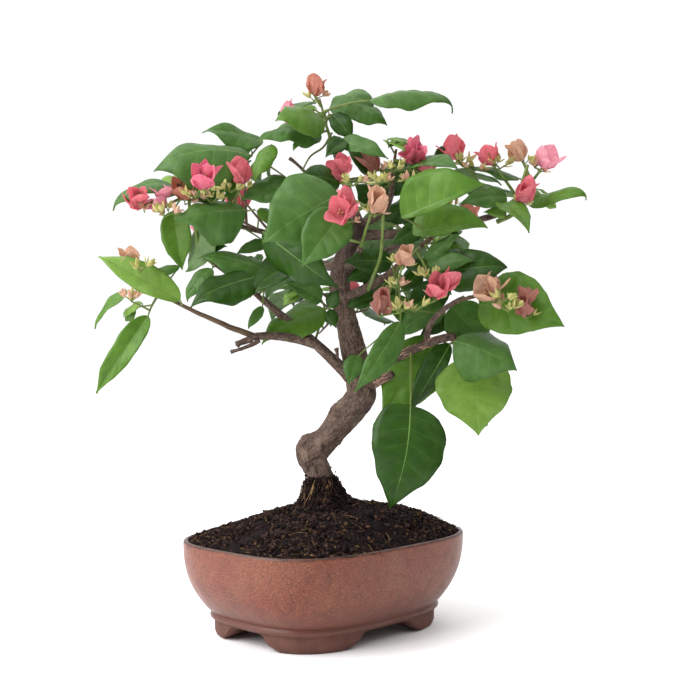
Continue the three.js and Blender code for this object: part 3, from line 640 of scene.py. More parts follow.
def scatter_crumbs(bundle, share, low, high, slots, loose=0.0, climb=0.0):
    """Crumbs on the mound, at shares of the way from the pot's wall to the trunk."""
    count = len(share)
    angle = chance.uniform(0, 2 * math.pi, count)
    places = soil_point(np.clip(share, 0.004, 0.99), angle)
    places += outward_at(angle) * chance.uniform(0, loose, (count, 1))
    places += UP * chance.exponential(climb + 1e-6, (count, 1))
    sizes = low * (high / low) ** (chance.uniform(0, 1, count) ** 2)
    shape = CRUMB_CORNERS * chance.uniform(0.6, 1.25, (count, 6, 1))
    shape = shape * chance.uniform(0.45, 1.0, (count, 1, 3))
    corners = np.einsum("nij,nkj->nki", random_turns(count), shape) * sizes[:, None, None]
    corners += places[:, None, :] + [0, 0, 0.25] * sizes[:, None, None]
    faces = CRUMB_FACES[None] + 6 * np.arange(count)[:, None, None]
    faces = np.concatenate([faces, faces[..., 2:]], -1).reshape(-1, 4)
    bundle.add(corners.reshape(-1, 3), faces, np.repeat(chance.choice(slots, count), 8))


def all_over(count):
    """Shares that spread over the whole mound, more of them where it is wide."""
    return 1 - np.sqrt(chance.uniform(0, 1, count))


CRUMBS, CLODS, COLLAR_CRUMBS, COLLAR_CLODS, SEAT_CRUMBS, CHIPS = 11000, 1500, 2600, 420, 240, 330
crumbs = Bundle("soil_crumbs", earths("soil_dark", "soil_brown", "soil_rust"))
scatter_crumbs(crumbs, all_over(CRUMBS), 0.45, 2.1, [0, 0, 0, 0, 0, 1, 1, 1, 2])
scatter_crumbs(crumbs, all_over(CLODS), 1.4, 3.6, [0, 0, 0, 1, 1])
scatter_crumbs(crumbs, chance.uniform(0.84, 1, COLLAR_CRUMBS), 0.6, 2.2, [0, 0, 0, 1], loose=1.6)
scatter_crumbs(crumbs, chance.uniform(0.84, 0.95, COLLAR_CLODS), 1.6, 3.8, [0, 0, 0, 1], loose=1.5)
scatter_crumbs(crumbs, np.full(SEAT_CRUMBS, 0.99), 0.5, 1.5, [0, 0, 0, 1], loose=0.3, climb=1.5)
chips = Bundle("soil_chips", earths("bark_chip", "soil_rust", "straw"))
scatter_crumbs(chips, all_over(CHIPS), 0.8, 2.6, [0, 0, 1, 1, 2])
for loose in (crumbs, chips):
    loose.piece(pot_place, "soil", sharp_angle=30)

# %% Fibres and roots
FIBRES, FIBRE_STEPS, ROOTS, ROOT_POINTS = 800, 4, 90, 6


def fibre(length, bend):
    """A short curved strand that lies on the mound."""
    share = np.array([1 - math.sqrt(chance.uniform(0.0, 0.98))])
    start = soil_point(share, chance.uniform(0, 2 * math.pi, 1))[0]
    heading = chance.uniform(0, 2 * math.pi)
    path = [start]
    for _ in range(FIBRE_STEPS):
        heading += chance.normal(0, bend)
        step = np.array([math.cos(heading), math.sin(heading), 0])
        path.append(path[-1] + length / FIBRE_STEPS * step)
    path = np.array(path)
    outward = path - trunk_seat
    slope = (np.hypot(*outward[0, :2]) - np.hypot(*outward[:, :2].T)) * 0.33
    path[:, 2] = start[2] + slope + 0.5 + chance.uniform(-0.2, 0.9, FIBRE_STEPS + 1)
    return path


def root_strand():
    """A thin root that runs down the collar from the trunk."""
    start = np.full(ROOT_POINTS, chance.uniform(0, 2 * math.pi))
    angle = start + np.cumsum(chance.normal(0, 0.14, ROOT_POINTS))
    share = np.linspace(chance.uniform(0.95, 0.995), chance.uniform(0.82, 0.93), ROOT_POINTS)
    return soil_point(share, angle) + outward_at(angle, 0.4) * chance.uniform(0.3, 2.4, (ROOT_POINTS, 1))


fibres = Bundle("soil_fibres", earths("straw", "root_skin", "soil_brown"))
for _ in range(FIBRES):
    points, faces = tube(fibre(chance.uniform(4, 15), 0.25), chance.uniform(0.1, 0.22), 3)
    fibres.add(points, faces, chance.choice([0, 1, 1, 2, 2]))
for _ in range(ROOTS):
    points, faces = tube(root_strand(), np.linspace(chance.uniform(0.2, 0.5), 0.15, ROOT_POINTS), 5)
    fibres.add(points, faces, chance.choice([0, 1, 2, 2, 2]))
fibres.piece(pot_place, "soil")

# %% [markdown]
# ## Bark
# The bark is grey-brown, split into fine long plates, with cracks painted darker as shade and paler worn
# ridges. The limb's mesh carries the relief itself. It also stores three marks on its points: *grain*,
# the place around and along the limb, *ridge*, how high the relief is, which also sets the painted shade
# in the cracks, and *age*, how dark the wood has grown. The material only reads those marks. Torn strips
# have a ridge above any other, and show fresh wood.

# %% Bark finish
def read_mark(tree, mark, kind="Fac"):
    return add_node(tree, "ShaderNodeAttribute", attribute_name=mark).outputs[kind]


def bark_finish():
    finish, tree = new_finish("bark")
    grain, ridge, age = read_mark(tree, "grain", "Vector"), read_mark(tree, "ridge"), read_mark(tree, "age")
    along_grain = {0: grain, 1: (1.0, 1.0, 0.4)}
    stretched = add_node(tree, "ShaderNodeVectorMath", along_grain, operation="MULTIPLY").outputs[0]
    streaks = noise_value(tree, stretched, 1.2, 6.0)
    patches = place_group(tree, mottle, Size=7.0, Contrast=2.6)
    fine = patches.outputs["Fine"]
    colour = stain(tree, tint(68, 51, 44), tint(120, 99, 87), streaks, 0.35, 0.65, 1.0)
    colour = stain(tree, colour, tint(140, 122, 108), patches.outputs["Cloud"], 0.55, 1.0, 0.55)
    colour = stain(tree, colour, tint(52, 38, 32), fine, 0.5, 0.68, 0.4)
    # Painted shade: the colour darkens where the relief is low, in the cracks.
    colour = mix_colours(tree, remap(tree, ridge, -0.35, 0.25, 0.75, 0.0), colour, tint(38, 27, 23))
    colour = stain(tree, colour, tint(40, 28, 24), age, 0.0, 1.0, 0.85)
    colour = stain(tree, colour, tint(186, 148, 128), ridge, 1.0, 1.4, 0.7)
    rough = remap(tree, streaks, 0.3, 0.7, 0.74, 0.92)
    relief = reckon(tree, "ADD", streaks, fine)
    show_surface(tree, bumpy_surface(tree, colour, rough, relief, 0.8, 0.001, 0.3))
    return finish


bark = bark_finish()
print("Finish:", bark.name)

# %% [markdown]
# ## The limbs' lines
# The trunk's bends and the boughs' tips are the named values that shaped the solids, so the bark lies
# where the solids are. A few boughs are made slimmer or shifted by some millimetres, to fit the
# photograph better. The trunk is a smooth curve through its bends. A bough is a curve from a point of
# its parent to its tip, pulled aside in the middle.

# %% Trunk and bough lines
TRUNK_BENDS = {
    "flare": (-5, 0, 112, 9.0), "ankle": (-7.5, 0, 118, 9.2), "knob": (-9, 0, 126, 10.9),
    "shin": (0, 0, 137, 9.9), "knee": (22, -2, 164, 9.8), "fork": (24, 0, 177, 9.4),
    "waist": (17, 6, 212, 8.0), "neck": (10, 8, 248, 7.1), "crook": (15, 5, 268, 7.8),
    "top": (23, 0, 291, 6.4),
}
TRUNK_STEPS, BOUGH_STEPS = 27, 6

# The start is a height on the trunk, or a share of the parent bough.
BoughPlan = namedtuple("BoughPlan", "start tip bow thick thin on", defaults=["trunk"])
BOUGHS = {
    "bough_left": BoughPlan(172, (-47, 8, 238), (3, -9, -2), 4.8, 2.3),
    "bough_left_low": BoughPlan(0.5, (-53, -18, 210), (0, 0, 3), 3.3, 2.5, "bough_left"),
    "bough_right": BoughPlan(174, (91, -22, 211), (3, -3, 7), 3.6, 2.5),
    "bough_right_up": BoughPlan(0.74, (97, -30, 238), (-7, -1, 2), 2.2, 1.5, "bough_right"),
    "bough_mid": BoughPlan(234, (46, -15, 256), (1, -4, -1), 3.6, 2.5),
    "bough_front": BoughPlan(258, (24, -44, 272), (2, 0, -3), 2.6, 1.8),
    "bough_upper_right": BoughPlan(281, (122, 0, 298), (0, 3, -4), 3.7, 2.0),
    "bough_upper_left": BoughPlan(276, (-61, -10, 289), (0, 4, -4), 3.0, 1.5),
    "bough_top": BoughPlan(286, (3, 8, 352), (1, 2, 0), 3.8, 2.0),
    "bough_crown": BoughPlan(284, (47, -3, 318), (6, 0, -4), 3.1, 1.9),
    "bough_back_left": BoughPlan(256, (-34, 50, 280), (0, 2, -5), 3.6, 2.1),
    "bough_back_right": BoughPlan(266, (60, 50, 284), (0, 3, -5), 3.6, 2.1),
    "bough_back_low": BoughPlan(206, (10, 54, 222), (0, 0, -4), 3.4, 2.2),
}


def smooth_curve(points, steps):
    """A curve through all the points, each span as long in steps as the next."""
    points = np.asarray(points, float)
    before = np.concatenate([[2 * points[0] - points[1]], points])
    ends = np.concatenate([points, [2 * points[-1] - points[-2]]])
    place = np.arange(steps + 1) / steps * (len(points) - 1)
    span = np.minimum(np.floor(place).astype(int), len(points) - 2)
    share = (place - span)[:, None]
    start, end = points[span], points[span + 1]
    leaving, arriving = 0.5 * (end - before[span]), 0.5 * (ends[span + 2] - start)
    square = -3 * start + 3 * end - 2 * leaving - arriving
    cube = 2 * start - 2 * end + leaving + arriving
    return start + leaving * share + square * share**2 + cube * share**3


def bent_line(start, control, end, steps):
    """A curve from start to end, drawn toward the control point."""
    start, control, end = (np.asarray(corner, float) for corner in (start, control, end))
    share = np.linspace(0, 1, steps + 1)[:, None]
    return (1 - share) ** 2 * start + 2 * share * (1 - share) * control + share**2 * end


bends = np.array(list(TRUNK_BENDS.values()), float)
bend_place = np.arange(TRUNK_STEPS + 1) / TRUNK_STEPS * (len(bends) - 1)
limbs = {"trunk": SimpleNamespace(
    path=smooth_curve(bends[:, :3], TRUNK_STEPS),
    radii=np.interp(bend_place, np.arange(len(bends)), bends[:, 3]),
)}
for name, plan in BOUGHS.items():
    parent = limbs[plan.on].path
    if plan.on == "trunk":
        joint = int(np.argmax(parent[:, 2] >= plan.start))
    else:
        joint = math.floor(plan.start * (len(parent) - 1) + 0.5)
    start, tip = parent[joint], np.array(plan.tip, float)
    control = (start + tip) / 2 + 2 * np.array(plan.bow, float)
    limbs[name] = SimpleNamespace(
        path=bent_line(start, control, tip, BOUGH_STEPS), control=control,
        radii=np.linspace(plan.thick, plan.thin, BOUGH_STEPS + 1),
    )
print("Limbs:", len(limbs))

# %% [markdown]
# ## Relief in the bark
# Each limb is a tube with many rings. Noise that is long in the limb's direction pushes its skin in
# and out by a millimetre or two: slow lumps for the twisted wood, and sharp narrow cracks, which come
# from folding the noise at zero. Sinews wind around the limb. A few round swellings and hollows are
# where old shoots were cut off.

# %% Bark tubes
# Swellings and hollows: the middle, the height and the reach.
SCARS = (
    ((-18, -5, 131), 3.0, 6.0), ((-15, -4, 138), 2.6, 5.0), ((-5, -4, 147), -3.4, 6.5),
    ((5, -4, 161), 3.0, 8.0), ((-13, -9, 122), 2.0, 4.5), ((10, -6, 133), 1.8, 4.0),
    ((31, -8, 170), 2.2, 6.0), ((12, -8, 176), 2.0, 5.0), ((12, -12, 150), -1.6, 6.0),
    ((14, -4, 228), 1.5, 5.0), ((20, -6, 262), 1.8, 5.0),
)
SINEW = 0.075
END_RIDGE = -0.4


def bark_tube(bundle, path, radii, sides, relief, twist, ages):
    """A limb's skin with its relief; ages has one value for each ring."""
    run = np.concatenate([[0], np.cumsum(np.linalg.norm(np.diff(path, axis=0), axis=1))])
    angle = np.arange(sides) * 2 * math.pi / sides
    directions = ring_directions(path, np.array([0.0, 1.0, 0.0]))
    points, grains, ridges = [], [], []
    for point, radius, length, (across, other) in zip(path, radii, run, directions):
        for turn in angle:
            outward = math.cos(turn) * across + math.sin(turn) * other
            skin = Vector((radius * math.cos(turn), radius * math.sin(turn), length))
            wood = noise.noise(Vector((skin.x / 6, skin.y / 6, skin.z / 16 + radius)))
            crack = 1 - 2.4 * abs(noise.noise(Vector((skin.x / 2.1, skin.y / 2.1, skin.z / 6))))
            flake = noise.noise(Vector((skin.x / 0.9, skin.y / 0.9, skin.z / 1.7)))
            sinew = math.cos(3 * turn + twist * length) + 0.6 * math.cos(5 * turn - 1.4 * twist * length)
            lift = relief * (1.1 * wood + 0.36 * crack + 0.3 * flake) + SINEW * radius * sinew
            place = point + outward * (radius + lift)
            for centre, height, reach in SCARS:
                gap = np.linalg.norm(place - centre) / reach
                if gap < 2:
                    place = place + outward * height * math.exp(-gap * gap) * (1 + 0.5 * flake)
            points.append(place)
            grains.append(skin)
            ridges.append(0.5 * crack + 0.35 * flake)
    points = np.array(points + end_points(path, radii, 0.3, 0.35))
    grains = np.array(grains + [(0, 0, 0), (0, 0, run[-1])])
    ridges = np.array(ridges + [END_RIDGE, END_RIDGE])
    ages = np.concatenate([np.repeat(ages, sides), ages[:1], ages[-1:]])
    bundle.add(points, tube_faces(len(path), sides), 0, grain=grains, ridge=ridges, age=ages)


# %% Trunk and boughs
TRUNK_RINGS, TRUNK_SIDES = 230, 72
TRUNK_START, TRUNK_START_RADIUS = (-3, 0, 103), 10.4
BOUGH_RINGS, BOUGH_SIDES, BOUGH_AGE = 56, 26, 0.12
trunk_line = smooth_curve([TRUNK_START, *bends[:, :3]], TRUNK_RINGS)
trunk_place = np.linspace(0, len(bends), TRUNK_RINGS + 1)
trunk_radii = np.interp(trunk_place, np.arange(len(bends) + 1), [TRUNK_START_RADIUS, *bends[:, 3]])
# The trunk darkens toward its top, and where soil clings to its foot.
top_age = np.clip((trunk_line[:, 2] - 225) / 70, 0, 1) ** 1.3
foot_age = np.clip((112 - trunk_line[:, 2]) / 4, 0, 1)
trunk_bark = Bundle("trunk_bark", [bark])
bark_tube(trunk_bark, trunk_line, trunk_radii, TRUNK_SIDES, 0.85, 0.055, top_age + foot_age)
trunk_bark.piece(tree_place, "bark", ["trunk"])


def bough_line(name):
    limb = limbs[name]
    return bent_line(limb.path[0], limb.control, limb.path[-1], BOUGH_RINGS)


bough_bark = Bundle("bough_bark", [bark])
for name, plan in BOUGHS.items():
    line = bough_line(name)
    share = np.linspace(0, 1, len(line))
    collar = 1 + (0.5 if plan.on == "trunk" else 0.15) * np.exp(-share * 14)
    radii = np.interp(share, [0, 1], [plan.thick, plan.thin]) * collar
    bark_tube(bough_bark, line, radii, BOUGH_SIDES, 0.42, 0.09, np.full(len(line), BOUGH_AGE))

# %% [markdown]
# Pruning left a few short dead stubs, and old bark peels off the right bough in rough strips around
# the largest of them. The stubs are more bark tubes, and the strips are thin tapered tubes that lie
# along the wood and lift off at one end.

# %% Stubs and torn bark
# The start, bend and end of each stub, and its radius at both ends.
STUBS = (
    ((25, -3, 175), (37, -9, 178), (48, -12, 184), 5.2, 1.6),
    ((7, -6, 191), (9, -9, 197), (7, -9, 202), 1.0, 1.3),
    ((-52, -18, 209), (-58, -19, 208), (-63, -19, 205), 2.4, 1.8),
    ((-47, -18, 208), (-56, -21, 202), (-67, -20, 200), 1.6, 1.0),
    ((-8, -4, 320), (-17, -5, 331), (-26, -6, 338), 1.2, 0.9),
)
STUB_STEPS, STUB_SIDES, STUB_AGE = 20, 18, 0.2
for start, bend, end, thick, thin in STUBS:
    line = bent_line(start, bend, end, STUB_STEPS)
    knob = 1 + 0.35 * np.exp(-((np.linspace(1, 0, len(line)) / 0.12) ** 2))
    radii = np.linspace(thick, thin, len(line)) * knob
    relief = 1.0 if thick > 4 else 0.4
    bark_tube(bough_bark, line, radii, STUB_SIDES, relief, 0.3, np.full(len(line), STUB_AGE))

torn = np.random.default_rng(9)
FRESH_RIDGE = 1.5


def torn_strip(line, radii, thick):
    """A strip of bark that lies along a limb and lifts off toward its end."""
    along = unit(line[-1] - line[0])
    level = unit(np.cross(along, UP))
    turn = torn.normal(0.3, 1.1)
    aside = level * math.cos(turn) - np.cross(level, along) * math.sin(turn)
    lift = radii * torn.uniform(0.85, 1.05) + torn.uniform(0.3, 1.8) * np.linspace(0, 1, len(line)) ** 2
    strip = line + aside * lift[:, None] + torn.normal(0, 0.25, line.shape)
    points, faces = tube(strip, np.linspace(thick, 0.3 * thick, len(line)), 5)
    marks = np.zeros(len(points))
    bough_bark.add(points, faces, 0, grain=points, ridge=marks + FRESH_RIDGE, age=marks)


def torn_strips(count, line, radii, starts, steps, thickest):
    """Strips along parts of a line, each with its own start, number of steps and thickness."""
    for _ in range(count):
        first = torn.integers(*starts)
        last = first + torn.integers(*steps)
        torn_strip(line[first:last], radii[first:last], torn.uniform(0.4, thickest))


STUB_STRIPS, RIGHT_STRIPS = 26, 14
stub_line = bent_line(*STUBS[0][:3], STUB_STEPS)
stub_step = stub_line[-1] - stub_line[-2]
stub_line = np.concatenate([stub_line, stub_line[-1] + np.arange(1, 3)[:, None] * stub_step])
torn_strips(STUB_STRIPS, stub_line, np.linspace(STUBS[0][3], 1.2, len(stub_line)), (4, 15), (5, 9), 0.9)
right_line = bough_line("bough_right")
torn_strips(RIGHT_STRIPS, right_line, np.full(len(right_line), 3.0), (8, 40), (5, 10), 0.8)
bough_bark.piece(tree_place, "bark", list(BOUGHS))

# %% [markdown]
# ## How the crown grows
# The leafy masses follow the rule that made the solids. A stem goes on from the bough's tip. Shoots
# leave it for the leading leaves and the blooms, then more shoots fill in by seeded draws. A leaf that
# would leave the mass's space, or come too near a limb or another leaf, is drawn again or left out.
# Here the rule also keeps open the gaps where the sky shows through the crown, and no side leaf may
# hide a leading leaf or a bloom. So some side leaves differ from those of the solids.

# %% Sizes of the growth
SHOOT_RADIUS = 1.4
LEAF_BREADTH, LEAF_FOLD, LEAF_ARCH, LEAF_STALK = 0.38, 0.22, 0.07, 0.2
LEAF_CLEAR, LIMB_CLEAR, LEAF_TRIES, LEAVES_A_SHOOT = 4.2, 2.0, 10, 4
BRACT_LENGTH = 18.0
GOLDEN_TURN = 2.4
STEM_STEPS, STEM_BOW, SHOOT_STEPS, SHOOT_BOW = 12, 0.06, 4, 0.12
GAP = 0.3
CROWN_AXIS = np.array([12.0, 5.0, 0.0])
LIGHT = np.array([0.0, -0.6, 0.75])
FRONT = np.array([0.0, -1.0, 0.12])

# %% [markdown]
# Each mass names its bough, the stem's tip, the middle and half-sizes of its space, its seed, how
# many side shoots it has, its range of leaf lengths and its droop. Leading leaves give the blade's
# base, its tip, its roll and its look. Blooms give a place, a size and a colour. Finer leaves give a
# base, a tip and a look, and sprays of buds a place.

# %% Masses
def look(green, breadth=1.0, facing=0.5, **curves):
    """A leaf's green, its breadth, how far it turns to the front, and curves of its own."""
    return SimpleNamespace(green=green, breadth=breadth, facing=facing, curves=curves)


# Blooms, finer leaves and buds may be left out.
MassPlan = namedtuple(
    "MassPlan", "bough tip middle half seed shoots leaf pitch leading blooms finer buds", defaults=[()] * 3
)
# A leading leaf's green is partly painted light and shade: darker for a leaf in shade, lighter for one that
# should look lit.
MASSES = {
    "mass_top": MassPlan(
        "bough_top", (-4, 2, 378), (8, 0, 364), (86, 60, 42), 146, 3, (36, 54), -0.15,
        [((31, -5, 379), (91, 3, 371), -0.6,
          look("mid", 0.68, 0.2, bend=0.9, tip=1.3, fold=-0.1, curl=-0.5, lean=0.05)),
         ((-1, -10, 363), (-35, -28, 361), 0.3, look("fresh_and_lit", 1.25, curl=-0.4, fold=-0.05)),
         ((10, 5, 369), (29, 30, 392), 0, look("mid", 1.2, 0.6, curl=-0.3)),
         ((10, -10, 349), (44, -25, 335), -0.2, look("mid", 0.55, 0.4, fold=0.2)),
         ((-4, 0, 356), (-49, -20, 347), 0.3, look("mid", 0.85, 0.35, bend=1.0, curl=-0.4, lean=0.4))],
        [(-10, 0, 395, 1, "salmon"), (-28, 12, 373, 1, "pink")],
        [((14, -14, 349), (0, -26, 336), look("deep_and_shaded", 0.9)),
         ((-18, -10, 353), (-23, -12, 342), look("fresh_and_lit", 0.55, 0.6)),
         ((5, 2, 370), (19, -2, 351), look("deep_and_shaded", 0.9, 0.6)),
         ((17, 12, 380), (44, 6, 363), look("mid", 0.9, 0.6, curl=-0.3))],
    ),
    "mass_upper_left": MassPlan(
        "bough_upper_left", (-104, -22, 318), (-92, -18, 312), (70, 60, 60), 156, 2, (40, 60), -0.25,
        [((-46, 10, 352), (-89, 0, 357), 0.5, look("mid", 0.9, curl=-0.4, lean=0.4, wave=0.06)),
         ((-54, -10, 340), (-121, -20, 327), 0.3,
          look("mid", 1.05, 0.45, bend=1.0, curl=-0.7, tip=0.4, lean=0.45, blunt=0.78)),
         ((-108, -20, 317), (-149, -25, 299), 0.6, look("mid", 0.75, 0.4, bend=1.4, curl=-0.3, lean=0.3)),
         ((-56, -30, 299), (-103, -48, 291), 0, look("mid", 1.0, 0.55, bend=0.7, curl=-0.8, fold=-0.1)),
         ((-86, -22, 289), (-98, -26, 256), 3.1, look("pale_and_lit", 1.1, 0.0, curl=0.0)),
         ((-38, -18, 346), (-49, -30, 318), 0.3, look("fresh_and_lit", 0.7))],
        [(-81, -52, 321, 2, "rose"), (-57, -24, 329, 1, "hot"), (-131, -30, 308, 2, "hot"),
         (-115, -28, 308, 2, "pink"), (-102, -22, 316, 1, "salmon")],
        [((-20, -12, 317), (-60, -22, 306), look("mid", 0.75, curl=-0.3)),
         ((-61, -8, 328), (-69, -14, 306), look("fresh_and_lit", 0.8, 0.7)),
         ((-109, -8, 300), (-102, -12, 258), look("fresh_and_lit", 0.72, 0.8)),
         ((-85, -16, 272), (-69, -24, 274), look("deep_and_shaded", 0.8, 0.6)),
         ((-42, -6, 277), (-64, -10, 269), look("mid", 0.6, 0.7))],
        [(-90, -40, 312), (-79, -36, 309), (-66, -30, 317), (-110, -44, 299)],
    ),
    "mass_far_left": MassPlan(
        "bough_left_low", (-122, -22, 244), (-126, -22, 232), (46, 48, 68), 47, 2, (36, 50), -0.4,
        [((-124, -28, 225), (-160, -30, 171), -0.1, look("fresh_and_lit", 0.36, 0.9, tip=0.6, fold=0.3, sway=-0.03)),
         ((-102, -25, 236), (-160, -20, 267), 0.3,
          look("pale_and_lit", 0.5, 0.8, fold=0.2, curl=0.1, twist=0.7, lean=-0.3)),
         ((-140, -15, 243), (-165, -10, 216), 0.8, look("fresh_and_lit", 0.45))],
        [(-141, -20, 269, 1, "peach")],
        [((-103, -20, 260), (-127, -22, 251), look("mid", 0.5, 0.4))],
        [(-128, -34, 262), (-134, -36, 241)],
    ),
    "mass_left": MassPlan(
        "bough_left", (-80, -8, 262), (-50, -10, 246), (74, 64, 56), 213, 2, (42, 62), -0.3,
        [((-50, -32, 252), (-91, -54, 231), 0.3, look("deep_and_shaded", 0.8, 0.6, curl=-0.4)),
         ((-35, -14, 255), (-89, -26, 266), 0.4, look("mid", 0.6, bend=0.8, lean=0.3)),
         ((-14, -16, 262), (-52, -40, 238), 0.1, look("deep_and_shaded", 0.8, 0.3)),
         ((-1, 6, 230), (-46, -8, 205), 0.2, look("fresh_and_lit", 0.8, fold=0.15))],
        finer=[((-3, -16, 237), (-28, -24, 248), look("mid", 0.8, 0.6)),
               ((3, -20, 231), (9, -24, 244), look("deep_and_shaded", 1.0, 0.8)),
               ((3, -18, 230), (7, -24, 217), look("deep_and_shaded", 1.0, 0.8)),
               ((-45, -14, 232), (-55, -16, 216), look("mid", 0.6, 0.8)),
               ((-79, -30, 258), (-96, -32, 235), look("mid", 0.6, 0.6))],
    ),
    "mass_front": MassPlan(
        "bough_front", (36, -84, 306), (4, -66, 288), (74, 56, 66), 691, 4, (42, 62), -0.4,
        [((10, -72, 306), (-40, -88, 273), 0, look("mid", 1.2, 1.0, curl=-0.25, fold=-0.02, blunt=0.44)),
         ((13, -85, 293), (-14, -97, 257), 0.1, look("mid", 0.9, 0.9, fold=0.15)),
         ((-43, -40, 283), (9, -55, 245), 0.6, look("deep_and_shaded", 0.7, 0.0))],
        [(14, -95, 296, 3, "hot"), (33, -90, 299, 2, "peach")],
    ),
    "mass_crown": MassPlan(
        "bough_crown", (50, -8, 344), (44, -4, 334), (64, 60, 52), 249, 3, (38, 56), -0.2,
        [((10, -25, 318), (-19, -42, 321), 0, look("deep_and_shaded", 0.9, 0.7)),
         ((56, -12, 330), (92, -40, 326), -0.2, look("mid", 0.9, 0.3))],
        [(10, -20, 329, 2, "hot"), (34, 0, 339, 1, "dusty"), (66, -15, 341, 3, "rose"),
         (74, -8, 335, 1, "hot")],
        [((80, 0, 334), (84, 5, 348), look("deep_and_shaded", 0.8, 0.6)),
         ((40, 12, 316), (70, 20, 334), look("deep_and_shaded", 1.0, 0.6)),
         ((45, 14, 302), (20, 18, 322), look("deep_and_shaded", 1.0, 0.6)),
         ((72, 10, 306), (40, 16, 294), look("deep_and_shaded", 0.9, 0.6)),
         ((36, 8, 329), (14, 4, 346), look("deep_and_shaded", 0.9, 0.7))],
        [(19, -46, 320), (37, -42, 321), (47, -32, 331), (58, -36, 323)],
    ),
    "mass_mid": MassPlan(
        "bough_mid", (78, -48, 284), (74, -42, 262), (68, 58, 70), 339, 4, (42, 62), -0.3,
        [((52, -55, 292), (107, -70, 313), -0.1,
          look("fresh_and_lit", 1.05, 0.75, bend=0.6, fold=0.1, lean=0.8, blunt=0.6)),
         ((60, -45, 282), (111, -50, 285), -0.5, look("fresh_and_lit", 0.95, 0.75, bend=0.7, lean=0.7)),
         ((80, -46, 254), (124, -54, 258), -0.2, look("deep_and_shaded", 0.95, 0.8, tip=0.9)),
         ((52, -35, 221), (20, -48, 173), 0, look("mid", 0.5, 0.8, fold=0.2, lean=0.25)),
         ((56, -24, 262), (88, -28, 240), -0.1, look("deep_and_shaded", 0.6, 0.3))],
        [(52, -70, 267, 1, "peach"), (37, -50, 234, 1, "dusty"), (75, -66, 245, 2, "hot")],
        [((66, -30, 288), (45, -38, 274), look("deep_and_shaded", 0.8, 0.6)),
         ((68, -40, 262), (93, -52, 282), look("mid", 0.5)),
         ((68, -42, 259), (102, -56, 262), look("mid", 0.5, tip=0.8)),
         ((46, -30, 263), (12, -40, 262), look("deep_and_shaded", 0.7, 0.7)),
         ((50, 6, 236), (24, 10, 254), look("deep_and_shaded", 1.0, 0.6)),
         ((62, 4, 232), (92, 8, 246), look("deep_and_shaded", 1.0, 0.6)),
         ((66, 2, 222), (40, 6, 240), look("mid", 0.9, 0.6)),
         ((23, -16, 197), (16, -20, 177), look("mid", 1.0, 1.0)),
         ((67, -8, 258), (53, -12, 242), look("deep_and_shaded", 0.9, 0.7)),
         ((91, -8, 225), (67, -10, 211), look("deep_and_shaded", 0.7, 0.7)),
         ((36, 2, 240), (14, 0, 231), look("deep_and_shaded", 0.8, 0.7)),
         ((36, 2, 260), (14, 0, 250), look("deep_and_shaded", 0.8, 0.7))],
        [(48, -62, 249), (50, -62, 233), (60, -66, 234), (69, -66, 256)],
    ),
    "mass_upper_right": MassPlan(
        "bough_upper_right", (150, 0, 322), (136, 0, 318), (58, 58, 48), 616, 3, (38, 54), -0.2,
        [((147, 0, 304), (186, -5, 308), -0.5,
          look("fresh_and_lit", 0.62, bend=0.9, tip=1.7, curl=-0.2, lean=0.3)),
         ((140, 8, 325), (98, 4, 331), 0.3, look("mid", 0.6, 0.1)),
         ((126, -10, 306), (140, -44, 282), -0.1, look("fresh_and_lit", 0.7, 0.6))],
        [(92, 0, 349, 1, "hot"), (117, 0, 345, 1, "hot"), (140, 5, 349, 1, "peach"), (157, 0, 343, 1, "pink"),
         (139, -15, 314, 2, "hot")],
        [((116, -6, 309), (93, -12, 316), look("mid", 0.8)),
         ((129, -4, 298), (112, -10, 299), look("pale_and_lit", 0.7, 0.6)),
         ((129, -2, 305), (103, -6, 310), look("mid", 0.6)),
         ((129, -6, 310), (94, -14, 304), look("mid", 0.6, 0.6))],
        [(150, 2, 338), (98, 0, 339), (106, 0, 335), (125, 0, 337)],
    ),
    "mass_right": MassPlan(
        "bough_right_up", (132, -44, 244), (120, -36, 240), (66, 60, 50), 266, 3, (42, 60), -0.4,
        [((107, -32, 233), (162, -58, 218), 0, look("fresh_and_lit", 1.14, 1.0, fold=0.05, lean=0.33)),
         ((90, -8, 232), (115, -14, 202), 0, look("mid", 1.1, 0.9)),
         ((84, -6, 232), (50, -2, 210), 0.1, look("mid", 0.7))],
        [(112, -64, 244, 2, "peach"), (136, -62, 233, 2, "dusty")],
        buds=[(122, -74, 234), (118, -76, 240)],
    ),
    "mass_lower_right": MassPlan(
        "bough_right", (106, -34, 200), (86, -30, 178), (62, 58, 60), 487, 3, (44, 62), -0.9,
        [((104.5, -20, 196), (106.5, -34, 142), 0,
          look("pale_and_lit", 1.3, 1.0, fold=0.05, tip=0.2, lean=0, blunt=0.52)),
         ((89, -42, 208), (131, -52, 188), -0.2, look("mid", 1.15, 0.7, curl=-0.7, fold=-0.1)),
         ((58.7, -45, 164), (44, -50, 94), -0.2,
          look("deep_and_shaded", 0.98, 1.0, bend=0.5, fold=0.06, curl=-0.1, sway=-0.05, lean=0.05, blunt=0.42)),
         ((88, -15, 205), (60, -11, 157), 0, look("deep_and_shaded", 0.5, 0.9, wave=0.06, lean=-0.4))],
        finer=[((76, -3, 209), (40, -5, 153), look("fresh_and_lit", 0.9, 0.95))],
    ),
    "mass_back_left": MassPlan(
        "bough_back_left", (-72, 84, 302), (-58, 76, 296), (76, 68, 70), 383, 5, (42, 60), -0.35, [],
        [(-70, 110, 322, 2, "hot"), (-96, 90, 300, 1, "pink")],
        [((-68, 108, 306), (-95, 132, 304), look("mid", 0.9, 0.0))],
    ),
    "mass_back_right": MassPlan(
        "bough_back_right", (92, 84, 302), (84, 76, 294), (76, 68, 70), 734, 5, (42, 60), -0.35, [],
        [(96, 110, 324, 2, "pink"), (116, 96, 310, 1, "salmon")],
    ),
